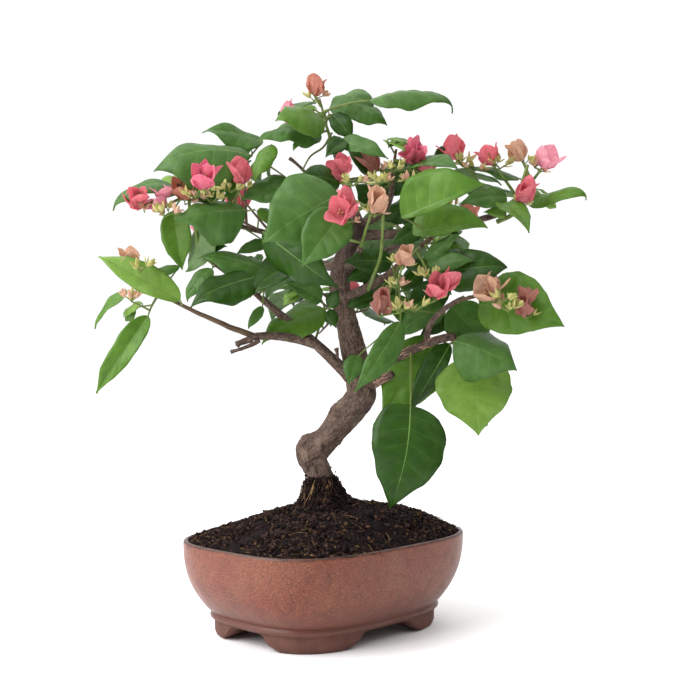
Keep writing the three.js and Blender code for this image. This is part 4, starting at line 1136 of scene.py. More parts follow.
    "mass_back_low": MassPlan(
        "bough_back_low", (6, 90, 236), (8, 92, 236), (70, 60, 56), 218, 6, (42, 58), -0.45, [],
        [(20, 126, 250, 1, "hot")],
    ),
}


# %% Draws, shoots and blades
DRAW_START, DRAW_STEP, DRAW_LIMIT = 104729, 48271, 2147483647


def seeded_draw(seed):
    """A repeatable run of draws between two limits."""
    state = seed * DRAW_START % DRAW_LIMIT

    def draw(low, high):
        nonlocal state
        state = state * DRAW_STEP % DRAW_LIMIT
        return low + (high - low) * state / DRAW_LIMIT

    return draw


def nearest_whole(value):
    return math.floor(value + 0.5)


def direction_at(path, step):
    return unit(path[min(step + 1, len(path) - 1)] - path[max(step - 1, 0)])


def turned_about(vector, axis, angle):
    cosine, sine = math.cos(angle), math.sin(angle)
    return vector * cosine + np.cross(axis, vector) * sine + axis * (axis @ vector) * (1 - cosine)


def radial_to(along, turn):
    """A direction square to the given one, turned about it from level."""
    level = np.array([-along[1], along[0], 0.0])
    if np.linalg.norm(level) < 0.05:
        level = np.array([1.0, 0.0, 0.0])
    return turned_about(unit(level - along * (level @ along)), along, turn)


def make_shoot(start, leaving, end, bow=SHOOT_BOW, spans=2, steps=SHOOT_STEPS):
    """A shoot that leaves in one direction and bends round to its end."""
    bend = (start + end) / 2 + leaving * bow * np.linalg.norm(end - start)
    corners = bent_line(start, bend, end, spans)
    place = np.arange(steps + 1) / (steps // spans)
    path = np.stack([np.interp(place, np.arange(spans + 1), corners[:, axis]) for axis in range(3)], 1)
    return SimpleNamespace(path=path, bend=bend, start=start, end=end)


def make_leaf(root, base, tip, roll, leaf_look=None):
    along = unit(tip - base)
    outward = (base - CROWN_AXIS) * [1, 1, 0]
    face = unit(outward) * 0.6 + LIGHT
    face = turned_about(unit(face - along * (face @ along)), along, roll)
    if leaf_look:
        face = face * (1 - leaf_look.facing) + FRONT * leaf_look.facing
        face = unit(face - along * (face @ along))
    return SimpleNamespace(
        root=root, base=base, along=along, face=face, side=np.cross(along, face),
        length=np.linalg.norm(tip - base), look=leaf_look,
    )


def blade_outline(share):
    """Half-breadth of a blade: rounded at the base, widest at a third, drawn out to a point."""
    return 2.7 * share**0.5 * (1 - share) ** 1.1


def blade_samples(leaf):
    share, across = np.meshgrid([0.08, 0.26, 0.46, 0.68, 0.94], [-0.95, -0.5, 0, 0.5, 0.95], indexing="ij")
    share, across = share.ravel(), across.ravel()
    half = LEAF_BREADTH * leaf.length * blade_outline(share)
    height = 4 * LEAF_ARCH * leaf.length * share * (1 - share) + LEAF_FOLD * np.abs(across) * half
    offset = np.stack([leaf.length * share, across * half, height], 1)
    return leaf.base + offset @ np.array([leaf.along, leaf.side, leaf.face])


# %% [markdown]
# Physics could push leaves apart, but it is simpler to ask before a leaf is kept. Do sample points of
# its blade stay clear of the limbs and the other leaves? Would it, seen from the front, show in a gap
# of the crown or hide a leading leaf?

# %% Room for leaves
class Crowd:
    """Points that are taken, each with the radius to keep clear of it."""

    def __init__(self):
        self.points = np.zeros((0, 3))
        self.radii = np.zeros(0)

    def add(self, points, radii):
        points = np.atleast_2d(points)
        self.points = np.concatenate([self.points, points])
        self.radii = np.concatenate([self.radii, np.broadcast_to(radii, len(points))])

    def clear_of(self, points, clearance):
        gaps = np.linalg.norm(self.points[None] - points[:, None], axis=2)
        return bool((gaps > self.radii + clearance).all())


limb_crowd, leaf_crowd, shown = Crowd(), Crowd(), Crowd()
# Gaps in the crown as seen from the front: right, up and radius.
OPEN_SKY = (
    (-73, 385, 21), (-28, 393, 10), (-134, 341, 20), (-28, 335, 8), (-66, 279, 6), (-107, 245, 7),
    (-91, 190, 29), (-41, 165, 32), (-75, 218, 9), (154, 269, 20), (190, 280, 22), (62, 364, 9),
    (86, 368, 11), (105, 354, 7), (140, 377, 22), (194, 334, 13), (168, 172, 27), (118, 114, 22),
    (154, 201, 9), (-15, 176, 18), (-102, 363, 16), (-127, 233, 7), (-113, 222, 7), (-19, 387, 5),
    (6, 391, 5), (163, 329, 8), (110, 279, 9), (-13, 346, 5), (34, 211, 8), (7, 273, 6),
    (-98, 253, 8), (154, 325, 7), (-97, 221, 8),
)
VIEW_DISTANCE, VIEW_RIGHT, VIEW_HEIGHT = 937.3, 17.1, 200.8


def front_view(points):
    """Places as seen from the front: right and up at the pot's own depth, and nearness to the viewer."""
    nearness = VIEW_DISTANCE / (VIEW_DISTANCE + points[:, 1])
    across = VIEW_RIGHT + (points[:, 0] - VIEW_RIGHT) * nearness
    height = VIEW_HEIGHT + (points[:, 2] - VIEW_HEIGHT) * nearness
    return np.stack([across, height], 1), -points[:, 1]


def in_open_sky(points):
    """Whether growth would show in a gap of the crown, seen from the front."""
    seen, _ = front_view(points)
    return any((np.hypot(*(seen - [x, z]).T) < radius).any() for x, z, radius in OPEN_SKY)


def hides_leading(points):
    """Whether a leaf would stand before a leading leaf or a bloom."""
    seen, near = front_view(points)
    kept, kept_near = front_view(shown.points)
    gaps = np.linalg.norm(kept[None] - seen[:, None], axis=2)
    return bool(((gaps < shown.radii) & (near[:, None] > kept_near)).any())


def inside_space(plan, point):
    return np.linalg.norm((point - np.array(plan.middle)) / np.array(plan.half)) < 1


def keep_leaf(mass, leaf, clear=LEAF_CLEAR):
    samples = blade_samples(leaf)
    length = leaf.length
    for share in (0.5, 1.0):
        arch = 4 * LEAF_ARCH * length * share * (1 - share)
        place = leaf.base + leaf.along * length * share + leaf.face * arch
        if not inside_space(mass.plan, place):
            return False
    if in_open_sky(samples) or hides_leading(samples):
        return False
    if not limb_crowd.clear_of(samples, LIMB_CLEAR) or not leaf_crowd.clear_of(samples, clear - LEAF_CLEAR):
        return False
    mass.leaves.append(leaf)
    leaf_crowd.add(samples, clear)
    return True


# %% Stems, leading shoots and bloom stalks
def take_joint(stem, place):
    """The free joint of a stem nearest to a place, which is then taken."""
    best, nearest = STEM_STEPS - 1, math.inf
    for step in range(1, STEM_STEPS):
        distance = np.linalg.norm(stem.path[step] - place)
        if step not in stem.joints and distance < nearest:
            best, nearest = step, distance
    stem.joints.add(best)
    return best


def branch_to(stem, end):
    joint = take_joint(stem, end)
    start = stem.path[joint]
    leaving = direction_at(stem.path, joint) * 0.4 + unit(end - start) * 0.6 + UP * 0.25
    return make_shoot(start, unit(leaving), end)


def grow_skeleton(plan):
    bough = limbs[plan.bough].path
    heading = unit(bough[-1] - bough[-2])
    tip = np.array(plan.tip, float)
    stem = make_shoot(bough[-1] + heading * GAP, heading, tip, STEM_BOW, 4, STEM_STEPS)
    stem.joints = {0, STEM_STEPS}
    mass = SimpleNamespace(
        plan=plan, draw=seeded_draw(plan.seed), stem=stem, heading=heading,
        leading=[], blooms=[], shoots=[], twiglets=[], leaves=[], flowers=[],
    )
    for base, tip, roll, leaf_look in plan.leading:
        shoot = branch_to(stem, np.array(base, float))
        mass.leading.append((shoot, np.array(tip, float), roll, leaf_look))
    for x, y, z, size, colour in plan.blooms:
        shoot = branch_to(stem, np.array([x, y, z]) - UP * 0.5 * BRACT_LENGTH)
        mass.blooms.append((shoot, size, colour))
    mass.wood = [stem, *(entry[0] for entry in mass.leading + mass.blooms)]
    return mass


SHOWN_REACH = 7.0


def add_shown_leaf(mass, leaf):
    mass.leaves.append(leaf)
    leaf_crowd.add(blade_samples(leaf), LEAF_CLEAR)
    shown.add(blade_samples(leaf), SHOWN_REACH)


def add_leading_leaves(mass):
    for shoot, tip, roll, leaf_look in mass.leading:
        base = shoot.path[-1]
        add_shown_leaf(mass, make_leaf(base, base, tip, roll, leaf_look))


def add_flowers(mass):
    for shoot, size, colour in mass.blooms:
        along = direction_at(shoot.path, len(shoot.path) - 1)
        root = shoot.path[-1] - along * 3
        axis = unit(along * 0.5 + UP * 0.9)
        spin = mass.draw(0, 2)
        length = BRACT_LENGTH * mass.draw(0.9, 1.1)
        flower = SimpleNamespace(root=root, axis=axis, spin=spin, length=length, size=size, colour=colour)
        mass.flowers.append(flower)
        leaf_crowd.add(root + axis * 0.6 * length, 0.6 * length)
        shown.add(root + axis * 0.6 * length, 0.6 * length)


# %% Side shoots and their leaves
def side_leaf(plan, shoot, step, turn, draw, scale=1.0):
    """A leaf on a shoot: its stalk leaves to one side and its blade droops outward."""
    root = shoot.path[step]
    along = direction_at(shoot.path, step)
    length = draw(*plan.leaf) * scale
    pitch = plan.pitch + draw(-0.4, 0.4)
    stalk = radial_to(along, turn + draw(-0.8, 0.8)) * 0.7
    stalk = unit(stalk + along * 0.6 + UP * 0.2)
    outward = unit((root - CROWN_AXIS) * [1, 1, 0])
    heading = unit(stalk * [1, 1, 0] + outward * 0.5)
    blade = heading * math.cos(pitch) + UP * math.sin(pitch)
    base = root + stalk * LEAF_STALK * length
    return make_leaf(root, base, base + blade * length, draw(-0.5, 0.5))


def add_side_leaves(mass, shoot, count, scale=1.0, clear=LEAF_CLEAR):
    first = mass.draw(0, math.pi)
    for place in range(count):
        own = seeded_draw(math.floor(mass.draw(1, 1e6)))
        share = 1 - 0.6 * place / count
        step = nearest_whole((len(shoot.path) - 1) * share)
        for _ in range(LEAF_TRIES):
            leaf = side_leaf(mass.plan, shoot, step, first + math.pi * place, own, scale)
            if keep_leaf(mass, leaf, clear):
                break


def add_side_shoots(mass):
    plan, draw, stem = mass.plan, mass.draw, mass.stem
    for entry in mass.leading:
        add_side_leaves(mass, entry[0], 1)
    for place in range(plan.shoots):
        turn = GOLDEN_TURN * place + draw(0, 1.2)
        reach = draw(26, 46)
        joint = take_joint(stem, stem.path[nearest_whole(STEM_STEPS * (place + 0.6) / plan.shoots)])
        start, along = stem.path[joint], direction_at(stem.path, joint)
        leaving = unit(radial_to(along, turn) * 0.8 + along * 0.5)
        end = start + leaving * reach + UP * 0.12 * reach
        shoot = make_shoot(start, leaving, end)
        free = shoot.path[1:]
        if not limb_crowd.clear_of(free, 0) or not leaf_crowd.clear_of(free, -2.5) or in_open_sky(free):
            continue
        before = len(mass.leaves)
        add_side_leaves(mass, shoot, LEAVES_A_SHOOT)
        if len(mass.leaves) > before:
            mass.shoots.append(shoot)
    add_side_leaves(mass, stem, LEAVES_A_SHOOT)


def leaf_count():
    return sum(len(mass.leaves) for mass in masses.values())


for limb in limbs.values():
    count = 3 * len(limb.path)
    ring = np.minimum(np.arange(count + 1) * len(limb.path) // count, len(limb.path) - 1)
    limb_crowd.add(smooth_curve(limb.path, count), limb.radii[ring])
masses = {name: grow_skeleton(plan) for name, plan in MASSES.items()}
for mass in masses.values():
    for shoot in mass.wood:
        limb_crowd.add(shoot.path, SHOOT_RADIUS)
    add_leading_leaves(mass)
    add_flowers(mass)
print("Leading leaves:", leaf_count())

# %% [markdown]
# ## Finer growth
# The solids stop at their larger leaves. Here the wood carries on in thin twiglets: first to leaves
# that have a place of their own, then, after the seeded shoots, to sprigs of young leaves wherever
# there is still room.

# %% Finer leaves and young sprigs
YOUNG_SCALE, YOUNG_CLEAR = 0.36, 2.4


def twiglet_to(mass, end):
    """A twiglet from the nearest point of a mass's own stem and shoots."""
    wood = np.concatenate([shoot.path[1:] for shoot in mass.wood])
    start = wood[np.argmin(np.linalg.norm(wood - end, axis=1))]
    leaving = unit(unit(end - start) + UP * 0.3)
    return make_shoot(start, leaving, end)


def add_finer_leaves(mass):
    for base, tip, leaf_look in mass.plan.finer:
        base = np.array(base, float)
        mass.twiglets.append(twiglet_to(mass, base))
        add_shown_leaf(mass, make_leaf(base, base, np.array(tip, float), 0.0, leaf_look))


def add_young_sprig(mass, shoot):
    """A short twig with a few young leaves, where there is room for them."""
    draw = mass.draw
    step = nearest_whole(draw(0.35, 0.9) * (len(shoot.path) - 1))
    start, along = shoot.path[step], direction_at(shoot.path, step)
    leaving = unit(radial_to(along, draw(0, 2 * math.pi)) + along * 0.6 + UP * 0.3)
    sprig = make_shoot(start, leaving, start + leaving * draw(8, 15))
    before = len(mass.leaves)
    add_side_leaves(mass, sprig, 3, YOUNG_SCALE, YOUNG_CLEAR)
    if len(mass.leaves) > before:
        mass.twiglets.append(sprig)


for mass in masses.values():
    add_finer_leaves(mass)
for mass in masses.values():
    add_side_shoots(mass)
print("Leaves with the seeded shoots:", leaf_count())
for mass in masses.values():
    for shoot in [entry[0] for entry in mass.leading] + mass.shoots + [mass.stem, mass.stem]:
        add_young_sprig(mass, shoot)
print("Leaves with the young sprigs:", leaf_count())

# %% [markdown]
# ## Leaf finishes
# A leaf is glossy above and paler and duller below, and light shines through it. A Principled shader
# gives the gloss, and a Translucent one mixed in gives the glow. The tree has leaves of several
# greens; darker greens also stand for shade on whole leaves and lighter ones for light, as painted
# shade and painted light. Each green is a finish of its own, so that it belongs to whole leaves. The
# midrib and the side veins are narrow faces with paler finishes, not a painted pattern.

# %% Leaf finishes
def blade_finish(name, dark, light, glow, roughness, through, size=7.0, crinkle=0.3):
    """A thin blade: two mottled colours, and a share of light that comes through."""
    finish, tree = new_finish(name)
    clouds = place_group(tree, mottle, Size=size, Contrast=2.2)
    colour = mix_colours(tree, clouds.outputs["Cloud"], tint(*dark), tint(*light))
    fine = clouds.outputs["Fine"]
    rough = remap(tree, fine, 0.3, 0.7, roughness - 0.05, roughness + 0.07)
    gloss = bumpy_surface(tree, colour, rough, fine, crinkle, 0.001 * crinkle, 0.3)
    shine = add_node(tree, "ShaderNodeBsdfTranslucent", {"Color": tint(*glow)}).outputs[0]
    both = add_node(tree, "ShaderNodeMixShader", {0: through, 1: gloss, 2: shine}).outputs[0]
    show_surface(tree, both)
    return finish


# Each green: its darker and lighter mottle, its side veins, and the light that shines through. The
# darkest green is partly painted shade, and the two lightest are partly painted light.
LEAF_GREENS = {
    "deep_and_shaded": ((30, 61, 4), (46, 81, 14), (62, 100, 28), (74, 136, 4)),
    "mid": ((60, 95, 34), (80, 118, 52), (96, 134, 64), (98, 160, 20)),
    "fresh_and_lit": ((74, 112, 30), (94, 132, 44), (110, 146, 56), (124, 182, 20)),
    "pale_and_lit": ((104, 140, 52), (126, 160, 70), (138, 170, 80), (150, 196, 40)),
}
# Other parts: darker and lighter mottle, the light that shines through, roughness, and its share.
OTHER_GREENS = {
    "leaf_under": ((90, 118, 70), (112, 138, 90), (104, 166, 28), 0.6, 0.26),
    "leaf_midrib": ((92, 126, 56), (116, 146, 76), (130, 170, 60), 0.5, 0.15),
    "stalk_green": ((84, 106, 44), (116, 132, 66), (120, 150, 50), 0.5, 0.06),
    "twig_brown": ((66, 50, 40), (102, 82, 62), (100, 90, 60), 0.75, 0.02),
}
THROUGH = 0.24
leaf_finishes, vein_finishes = {}, {}
for green, (dark, light, vein, glow) in LEAF_GREENS.items():
    leaf_finishes[green] = blade_finish(f"leaf_{green}", dark, light, glow, 0.4, THROUGH)
    vein_finishes[green] = blade_finish(f"vein_{green}", light, vein, glow, 0.45, THROUGH)
other_finishes = {name: blade_finish(name, *values) for name, values in OTHER_GREENS.items()}
print("Leaf finishes:", len(leaf_finishes) + len(vein_finishes) + len(other_finishes))

# %% [markdown]
# ## A blade as a mesh
# A leaf could be a flat card, but its fold, its droop and its wavy edge are what make it look alive.
# The blade is a grid. Its rows sweep forward from the midrib to the edge, as side veins do, and some
# rows lie close together: the narrow strip between them is a vein. A second layer just below closes
# the leaf and carries the colour of its underside.

# %% Blade grid
UPPER, MIDRIB, UNDERSIDE, VEIN = range(4)
VEIN_SWEEP = 0.64
VEIN_WIDTH = 0.005


def blade_rows(veins, between, tail):
    """Rows along the midrib: the place, which edge of a vein it is, and how far the skin swells."""
    rows = [(0.0, 0, 0), (0.005, 0, 0), (0.014, 0, 0.1), (0.028, 0, 0.3), (0.05, 0, 0.6)]
    for vein, after in zip(veins, [*veins[1:], None]):
        rows += [(vein, -1, 0), (vein, 1, 0)]
        if after:
            rows += [(vein + (after - vein) * share, 0, math.sin(math.pi * share)) for share in between]
    last = veins[-1] if veins else 0.1
    return np.array(rows + [(last + (1 - last) * share, 0, math.sin(math.pi * share)) for share in tail])


def blade_columns(half_columns):
    """Places across the blade; the two middle columns are the edges of the midrib."""
    half = np.array(half_columns)
    return np.concatenate([-half[::-1], [-0.0, 0.0], half])


THIRDS, MIDDLE = (0.2, 0.5, 0.8), (0.5,)
LONG_TAIL, SHORT_TAIL = (0.14, 0.28, 0.42, 0.55, 0.67, 0.78, 0.87, 0.94, 1.0), (0.3, 0.55, 0.78, 1.0)
LEAF_VEINS, BRACT_VEINS = (0.1, 0.22, 0.36, 0.52, 0.68), (0.16, 0.34, 0.54)
LEAF_GRID = blade_rows(LEAF_VEINS, THIRDS, LONG_TAIL), blade_columns((0.28, 0.55, 0.8, 1.0))
YOUNG_GRID = blade_rows((0.2, 0.45), MIDDLE, SHORT_TAIL), blade_columns((0.5, 1.0))
BRACT_GRID = blade_rows(BRACT_VEINS, THIRDS, LONG_TAIL), blade_columns((0.25, 0.5, 0.75, 0.92, 1.0))
BUD_GRID = blade_rows((), MIDDLE, SHORT_TAIL), blade_columns((0.5, 1.0))


def centre_line(place, bend, tip):
    """Run, rise and tilt of a midrib that arches and then droops at its tip."""
    fine = np.linspace(0, 1, 65)
    lean = bend * (0.5 - fine) - tip * np.clip((fine - 0.7) / 0.3, 0, 1) ** 1.5
    line = np.concatenate([[0], np.cumsum(np.exp(1j * (lean[1:] + lean[:-1]) / 2) / 64)])
    line, lean = line / line[-1], lean - np.angle(line[-1])
    return (np.interp(place, fine, values) for values in (line.real, line.imag, lean))


def blade_points(length, breadth, outline, grid, shape):
    """Points as (along, side, face), first the upper layer and then the lower."""
    rows, across = grid[0], grid[1][None, :]
    spot, edge_sign, swelling, reach = rows[:, :1], rows[:, 1:2], rows[:, 2:], np.abs(across)
    sweep = VEIN_SWEEP * spot * (1 - spot)
    place = np.clip(spot + edge_sign * VEIN_WIDTH * (1 - 0.85 * reach) + sweep * reach**1.2, 0, 1)
    half = np.maximum(breadth * length * outline(np.clip(spot + sweep, 0, 1)), 0.012 * length)
    middle = grid[1].size // 2
    rib = np.minimum(0.0055 * length * (1.1 - place[:, middle]), 0.2 * half[:, 0])
    phase, arc = shape["phase"], np.sin(math.pi * place)
    uneven = np.sin(15 * place + 2 * phase + (across > 0) * 2.3) + np.sin(31 * place + phase)
    side = across * half * (1 - np.clip(shape["lean"] * np.sign(across), 0, 1)) * (1 + 0.016 * uneven * reach)
    side[:, middle - 1], side[:, middle] = -rib, rib
    run, rise, tilt = centre_line(place, shape["bend"], shape["tip"])
    wave = np.sin(2 * math.pi * shape["waves"] * place + phase + (across > 0) * 1.9)
    quilt = swelling * reach * (1 - reach) * 4 * arc
    height = shape["fold"] * np.abs(side) + shape["curl"] * side**2 / (breadth * length)
    height = height + length * (shape["wave"] * reach**2 * wave * arc + shape["quilt"] * quilt)
    height[:, middle - 1 : middle + 1] -= 0.003 * length
    side = side + shape["sway"] * length * arc
    turn = shape["twist"] * (place - 0.35)
    side, height = side * np.cos(turn) - height * np.sin(turn), side * np.sin(turn) + height * np.cos(turn)
    upper = np.stack([run * length - height * np.sin(tilt), side, rise * length + height * np.cos(tilt)], -1)
    down = np.stack([np.sin(tilt), np.zeros_like(tilt), -np.cos(tilt)], -1) * shape["thick"]
    down[:, middle - 1 : middle + 1] *= 2.6
    return np.concatenate([upper.reshape(-1, 3), (upper + down).reshape(-1, 3)])


def blade_faces(grid):
    """Faces of both layers and of the rim between them, with the finish of each."""
    rows, count, wide = grid[0], len(grid[0]), len(grid[1])
    upper = band_faces(count, wide, closed=False)
    lower = upper[:, [0, 3, 2, 1]] + count * wide
    strip = np.repeat(np.arange(count - 1), wide - 1)
    column = np.tile(np.arange(wide - 1), count - 1)
    in_vein = (rows[strip, 1] == -1) & (column > 0) & (column < wide - 2)
    in_rib = (column == wide // 2 - 1) & (rows[strip, 0] < 0.85)
    upper_slot = np.where(in_rib, MIDRIB, np.where(in_vein, VEIN, UPPER))
    lower_slot = np.where(in_rib, MIDRIB, UNDERSIDE)
    cells = np.arange(count * wide).reshape(count, wide)
    loop = np.concatenate([cells[0, :-1], cells[:-1, -1], cells[-1, :0:-1], cells[:0:-1, 0]])
    after = np.roll(loop, -1)
    rim = np.stack([after, loop, loop + count * wide, after + count * wide], 1)
    slots = np.concatenate([upper_slot, lower_slot, np.full(len(rim), UPPER)])
    return np.concatenate([upper, lower, rim]), slots


def add_blade(bundle, base, along, face, length, breadth, outline, grid, shape):
    """A blade from its base, along one direction, with its upper side toward another."""
    points = blade_points(length, breadth, outline, grid, shape)
    points = base + points @ np.array([along, np.cross(along, face), face])
    bundle.add(points, *blade_faces(grid))


# %% [markdown]
# ## Leaves and their stalks
# Every leaf draws its own fold, droop, twist and waves, so no two are alike. A leading leaf keeps the
# look that its mass gives it. Other leaves get lighter greens toward the crown's outside and darker
# ones inside it, as painted light and shade, and young ones are fresh or pale. A stalk is a thin tube
# that bends from the shoot into the blade.

# %% Leaves
midrib, under = other_finishes["leaf_midrib"], other_finishes["leaf_under"]
leaf_bundles = {
    green: Bundle(f"leaves_{green}", [leaf_finishes[green], midrib, under, vein_finishes[green]])
    for green in LEAF_GREENS
}
stalks = Bundle("leaf_stalks", [other_finishes["stalk_green"]])
YOUNG_LENGTH, LEAF_THICKNESS, STALK_STEPS = 26.0, 0.3, 6
CROWN_MIDDLE, CROWN_HALF = np.array([12, 0, 270]), np.array([150, 110, 110])
# The limits of each curve of a leaf, in the order of their draws.
LEAF_CURVES = {
    "bend": (0.3, 0.95), "tip": (0.2, 0.9), "fold": (-0.1, 0.3), "curl": (-0.45, 0.1),
    "wave": (0.015, 0.05), "waves": (1.2, 2.4), "phase": (0, 6.3), "twist": (-0.4, 0.4),
    "quilt": (0.009, 0.017), "lean": (-0.2, 0.2), "sway": (-0.03, 0.03), "blunt": (0.46, 0.6),
}


def drawn_curves(limits, draw):
    return {curve: draw(low, high) for curve, (low, high) in limits.items()}


def leaf_outline(blunt):
    """Like the shared outline, but drawn out further to the tip; a small power makes a blunt base."""
    def half(share):
        share = np.clip(share, 0, 1)
        body = (share / 0.36) ** blunt * ((1 - share) / 0.64) ** 0.95
        return 0.98 * body * (1 - 0.5 * np.clip((share - 0.72) / 0.28, 0, 1) ** 0.8)

    return half


def green_by_shade_and_youth(leaf, draw):
    """Painted light and shade: lighter toward the crown's outside and darker inside it, with some chance."""
    reach = np.linalg.norm((leaf.base - CROWN_MIDDLE) / CROWN_HALF)
    light_rank = 1.5 * reach + draw(-0.75, 0.75)
    if leaf.length < YOUNG_LENGTH:
        return "fresh_and_lit" if light_rank < 1.2 else "pale_and_lit"
    return ["deep_and_shaded", "deep_and_shaded", "mid", "fresh_and_lit"][int(np.clip(math.floor(light_rank * 1.9), 0, 3))]


def add_leaf(leaf, draw):
    shape = {"thick": LEAF_THICKNESS, **drawn_curves(LEAF_CURVES, draw)}
    breadth, green = draw(0.82, 1.0), green_by_shade_and_youth(leaf, draw)
    if leaf.look:
        green, breadth = leaf.look.green, leaf.look.breadth
        shape.update({"twist": 0.3 * shape["twist"], **leaf.look.curves})
    grid = YOUNG_GRID if leaf.length < YOUNG_LENGTH else LEAF_GRID
    add_blade(
        leaf_bundles[green], leaf.base, leaf.along, leaf.face, leaf.length,
        LEAF_BREADTH * breadth, leaf_outline(shape["blunt"]), grid, shape,
    )
    stalk_length = np.linalg.norm(leaf.base - leaf.root)
    if stalk_length > 1:
        lift = leaf.base - leaf.along * 0.35 * stalk_length
        line = bent_line(leaf.root, lift, leaf.base, STALK_STEPS)
        thick = 0.75 if leaf.length > YOUNG_LENGTH else 0.45
        stalks.add(*tube(line, np.linspace(thick, 0.7 * thick, STALK_STEPS + 1), 6))


leaf_draw = seeded_draw(5021)
for mass in masses.values():
    for leaf in mass.leaves:
        add_leaf(leaf, leaf_draw)
replaced_masses = list(MASSES)
for bundle in leaf_bundles.values():
    bundle.piece(tree_place, "foliage", replaced_masses)
    replaced_masses = ()

# %% [markdown]
# ## Twigs
# Old stems are brown and woody. Young shoots and a few young stems are green. A stem starts a little
# inside its bough, so the joint doesn't show. A shoot that ends in a leading leaf thins down to that
# leaf's stalk.

# %% Stems and shoots
stems = Bundle("woody_stems", [other_finishes["twig_brown"]])
TWIG_STEPS, STEM_CURVE_STEPS, BARE_STEPS = 12, 22, 24


def add_twig(bundle, shoot, thick, thin, sides=7):
    line = bent_line(shoot.start, shoot.bend, shoot.end, TWIG_STEPS)
    bundle.add(*tube(line, np.linspace(thick, thin, TWIG_STEPS + 1), sides))


GREEN_STEMS = ("mass_top", "mass_front", "mass_upper_right")
# A distance to the side counts for more, so that a shoot leaves its bough below its own end.
STRAIGHT_DOWN = np.array([1.8, 1.0, 1.0])


def drawn_shoot(mass, shoot):
    """A leading shoot leaves its own stem, or the bough where that is much nearer."""
    bough = limbs[mass.plan.bough].path[2:]
    near = bough[np.argmin(np.linalg.norm((bough - shoot.end) * STRAIGHT_DOWN, axis=1))]
    if np.linalg.norm(near - shoot.end) > np.linalg.norm(shoot.start - shoot.end) - 6:
        return shoot
    return make_shoot(near, unit(shoot.end - near + UP * 6), shoot.end)


# Shoots that show between the leaves: the places they pass, and their radius at the start.
BARE_SHOOTS = (
    ((-80, -8, 262), (-89, -16, 272), (-92, -18, 287), (-96, -20, 303), (-94, -20, 331), 1.6),
    ((4, 2, 357), (-2, -4, 346), (-11, -8, 339), (-17, -12, 328), 0.9),
    ((123, 0, 293), (134, -8, 299), (138, -10, 315), (144, -6, 333), 1.8),
    ((30, -9, 244), (33, -40, 252), (38, -58, 267), (39, -80, 291), 1.5),
)
for *places, thick in BARE_SHOOTS:
    line = smooth_curve(places, BARE_STEPS)
    stalks.add(*tube(line, np.linspace(thick, 0.65 * thick, len(line)), 8))
for name, mass in masses.items():
    stem = mass.stem
    line = bent_line(stem.start - mass.heading * 4, stem.bend, stem.end, STEM_CURVE_STEPS)
    sway = 0.5 * np.stack([lumps(line, 9.0, 2.0 + axis) for axis in range(3)], 1)
    thick = 0.97 * BOUGHS[mass.plan.bough].thin
    bundle, thick, thin = (stalks, 0.7 * thick, 0.7) if name in GREEN_STEMS else (stems, thick, 0.9)
    bundle.add(*tube(line + sway, np.linspace(thick, thin, len(line)), 8))
    for shoot in mass.shoots:
        add_twig(stems, shoot, 1.2, 0.6)
    for entry in mass.leading:
        add_twig(stalks, drawn_shoot(mass, entry[0]), 1.0, 0.55)
    for entry in mass.blooms:
        add_twig(stalks, entry[0], 1.3, 0.8)
    for shoot in mass.twiglets:
        add_twig(stalks, shoot, 0.75, 0.45, 6)

# %% [markdown]
# ## Bracts
# What looks like a flower is three papery bracts around thin tubes. They let much light through. A
# bract is made by the same blade grid as a leaf, rounder and cupped. Bracts age from hot pink to
# salmon and peach, and each bloom keeps one colour. Unopened ones are small, yellow-green and stand
# in loose sprays.

# %% Bract finishes
BRACT_COLOURS = {
    "hot": ((214, 112, 126), (240, 158, 168), (248, 160, 170)),
    "rose": ((220, 110, 138), (242, 156, 178), (250, 162, 182)),
    "pink": ((224, 146, 166), (250, 200, 212), (255, 196, 210)),
    "salmon": ((186, 122, 104), (214, 158, 140), (234, 168, 148)),
    "peach": ((204, 166, 142), (228, 198, 174), (246, 214, 188)),
    "dusty": ((170, 114, 102), (194, 146, 132), (218, 154, 140)),
}
bract_finishes = {
    colour: blade_finish(f"bract_{colour}", dark, light, glow, 0.65, 0.42, 2.6, 0.7)
    for colour, (dark, light, glow) in BRACT_COLOURS.items()
}
FLOWER_PARTS = {
    "bract_vein": ((186, 96, 98), (204, 118, 112), (222, 124, 116), 0.65, 0.3),
    "bud": ((178, 176, 108), (208, 200, 140), (224, 224, 136), 0.65, 0.32, 3.0),
    "flower_tube": ((150, 108, 84), (180, 140, 104), (200, 160, 100), 0.6, 0.2, 3.0),
}
flower_finishes = {name: blade_finish(name, *values) for name, values in FLOWER_PARTS.items()}
print("Bract finishes:", len(bract_finishes) + len(flower_finishes))

# %% Flowers
bract_bundles = {
    colour: Bundle(f"bracts_{colour}", [finish, flower_finishes["bract_vein"]] * 2)
    for colour, finish in bract_finishes.items()
}
tubes = Bundle("flower_tubes", [flower_finishes["flower_tube"]])
buds = Bundle("buds", [flower_finishes["bud"]] * 4)
BRACT_THICKNESS = 0.16
BRACT_CURVES = {
    "bend": (-0.9, -0.2), "tip": (-0.3, 0.7), "fold": (-0.05, 0.15), "curl": (0.05, 0.35),
    "wave": (0.02, 0.06), "waves": (1.2, 2.6), "phase": (0, 6.3), "twist": (-0.3, 0.3),
    "quilt": (0.006, 0.014), "sway": (-0.03, 0.03),
}


def bract_outline(share):
    return 2.3 * np.clip(share, 0, 1) ** 0.5 * np.clip(1 - share, 0, 1) ** 0.72


def bract_shape(draw):
    return {"thick": BRACT_THICKNESS, "lean": 0.0, **drawn_curves(BRACT_CURVES, draw)}


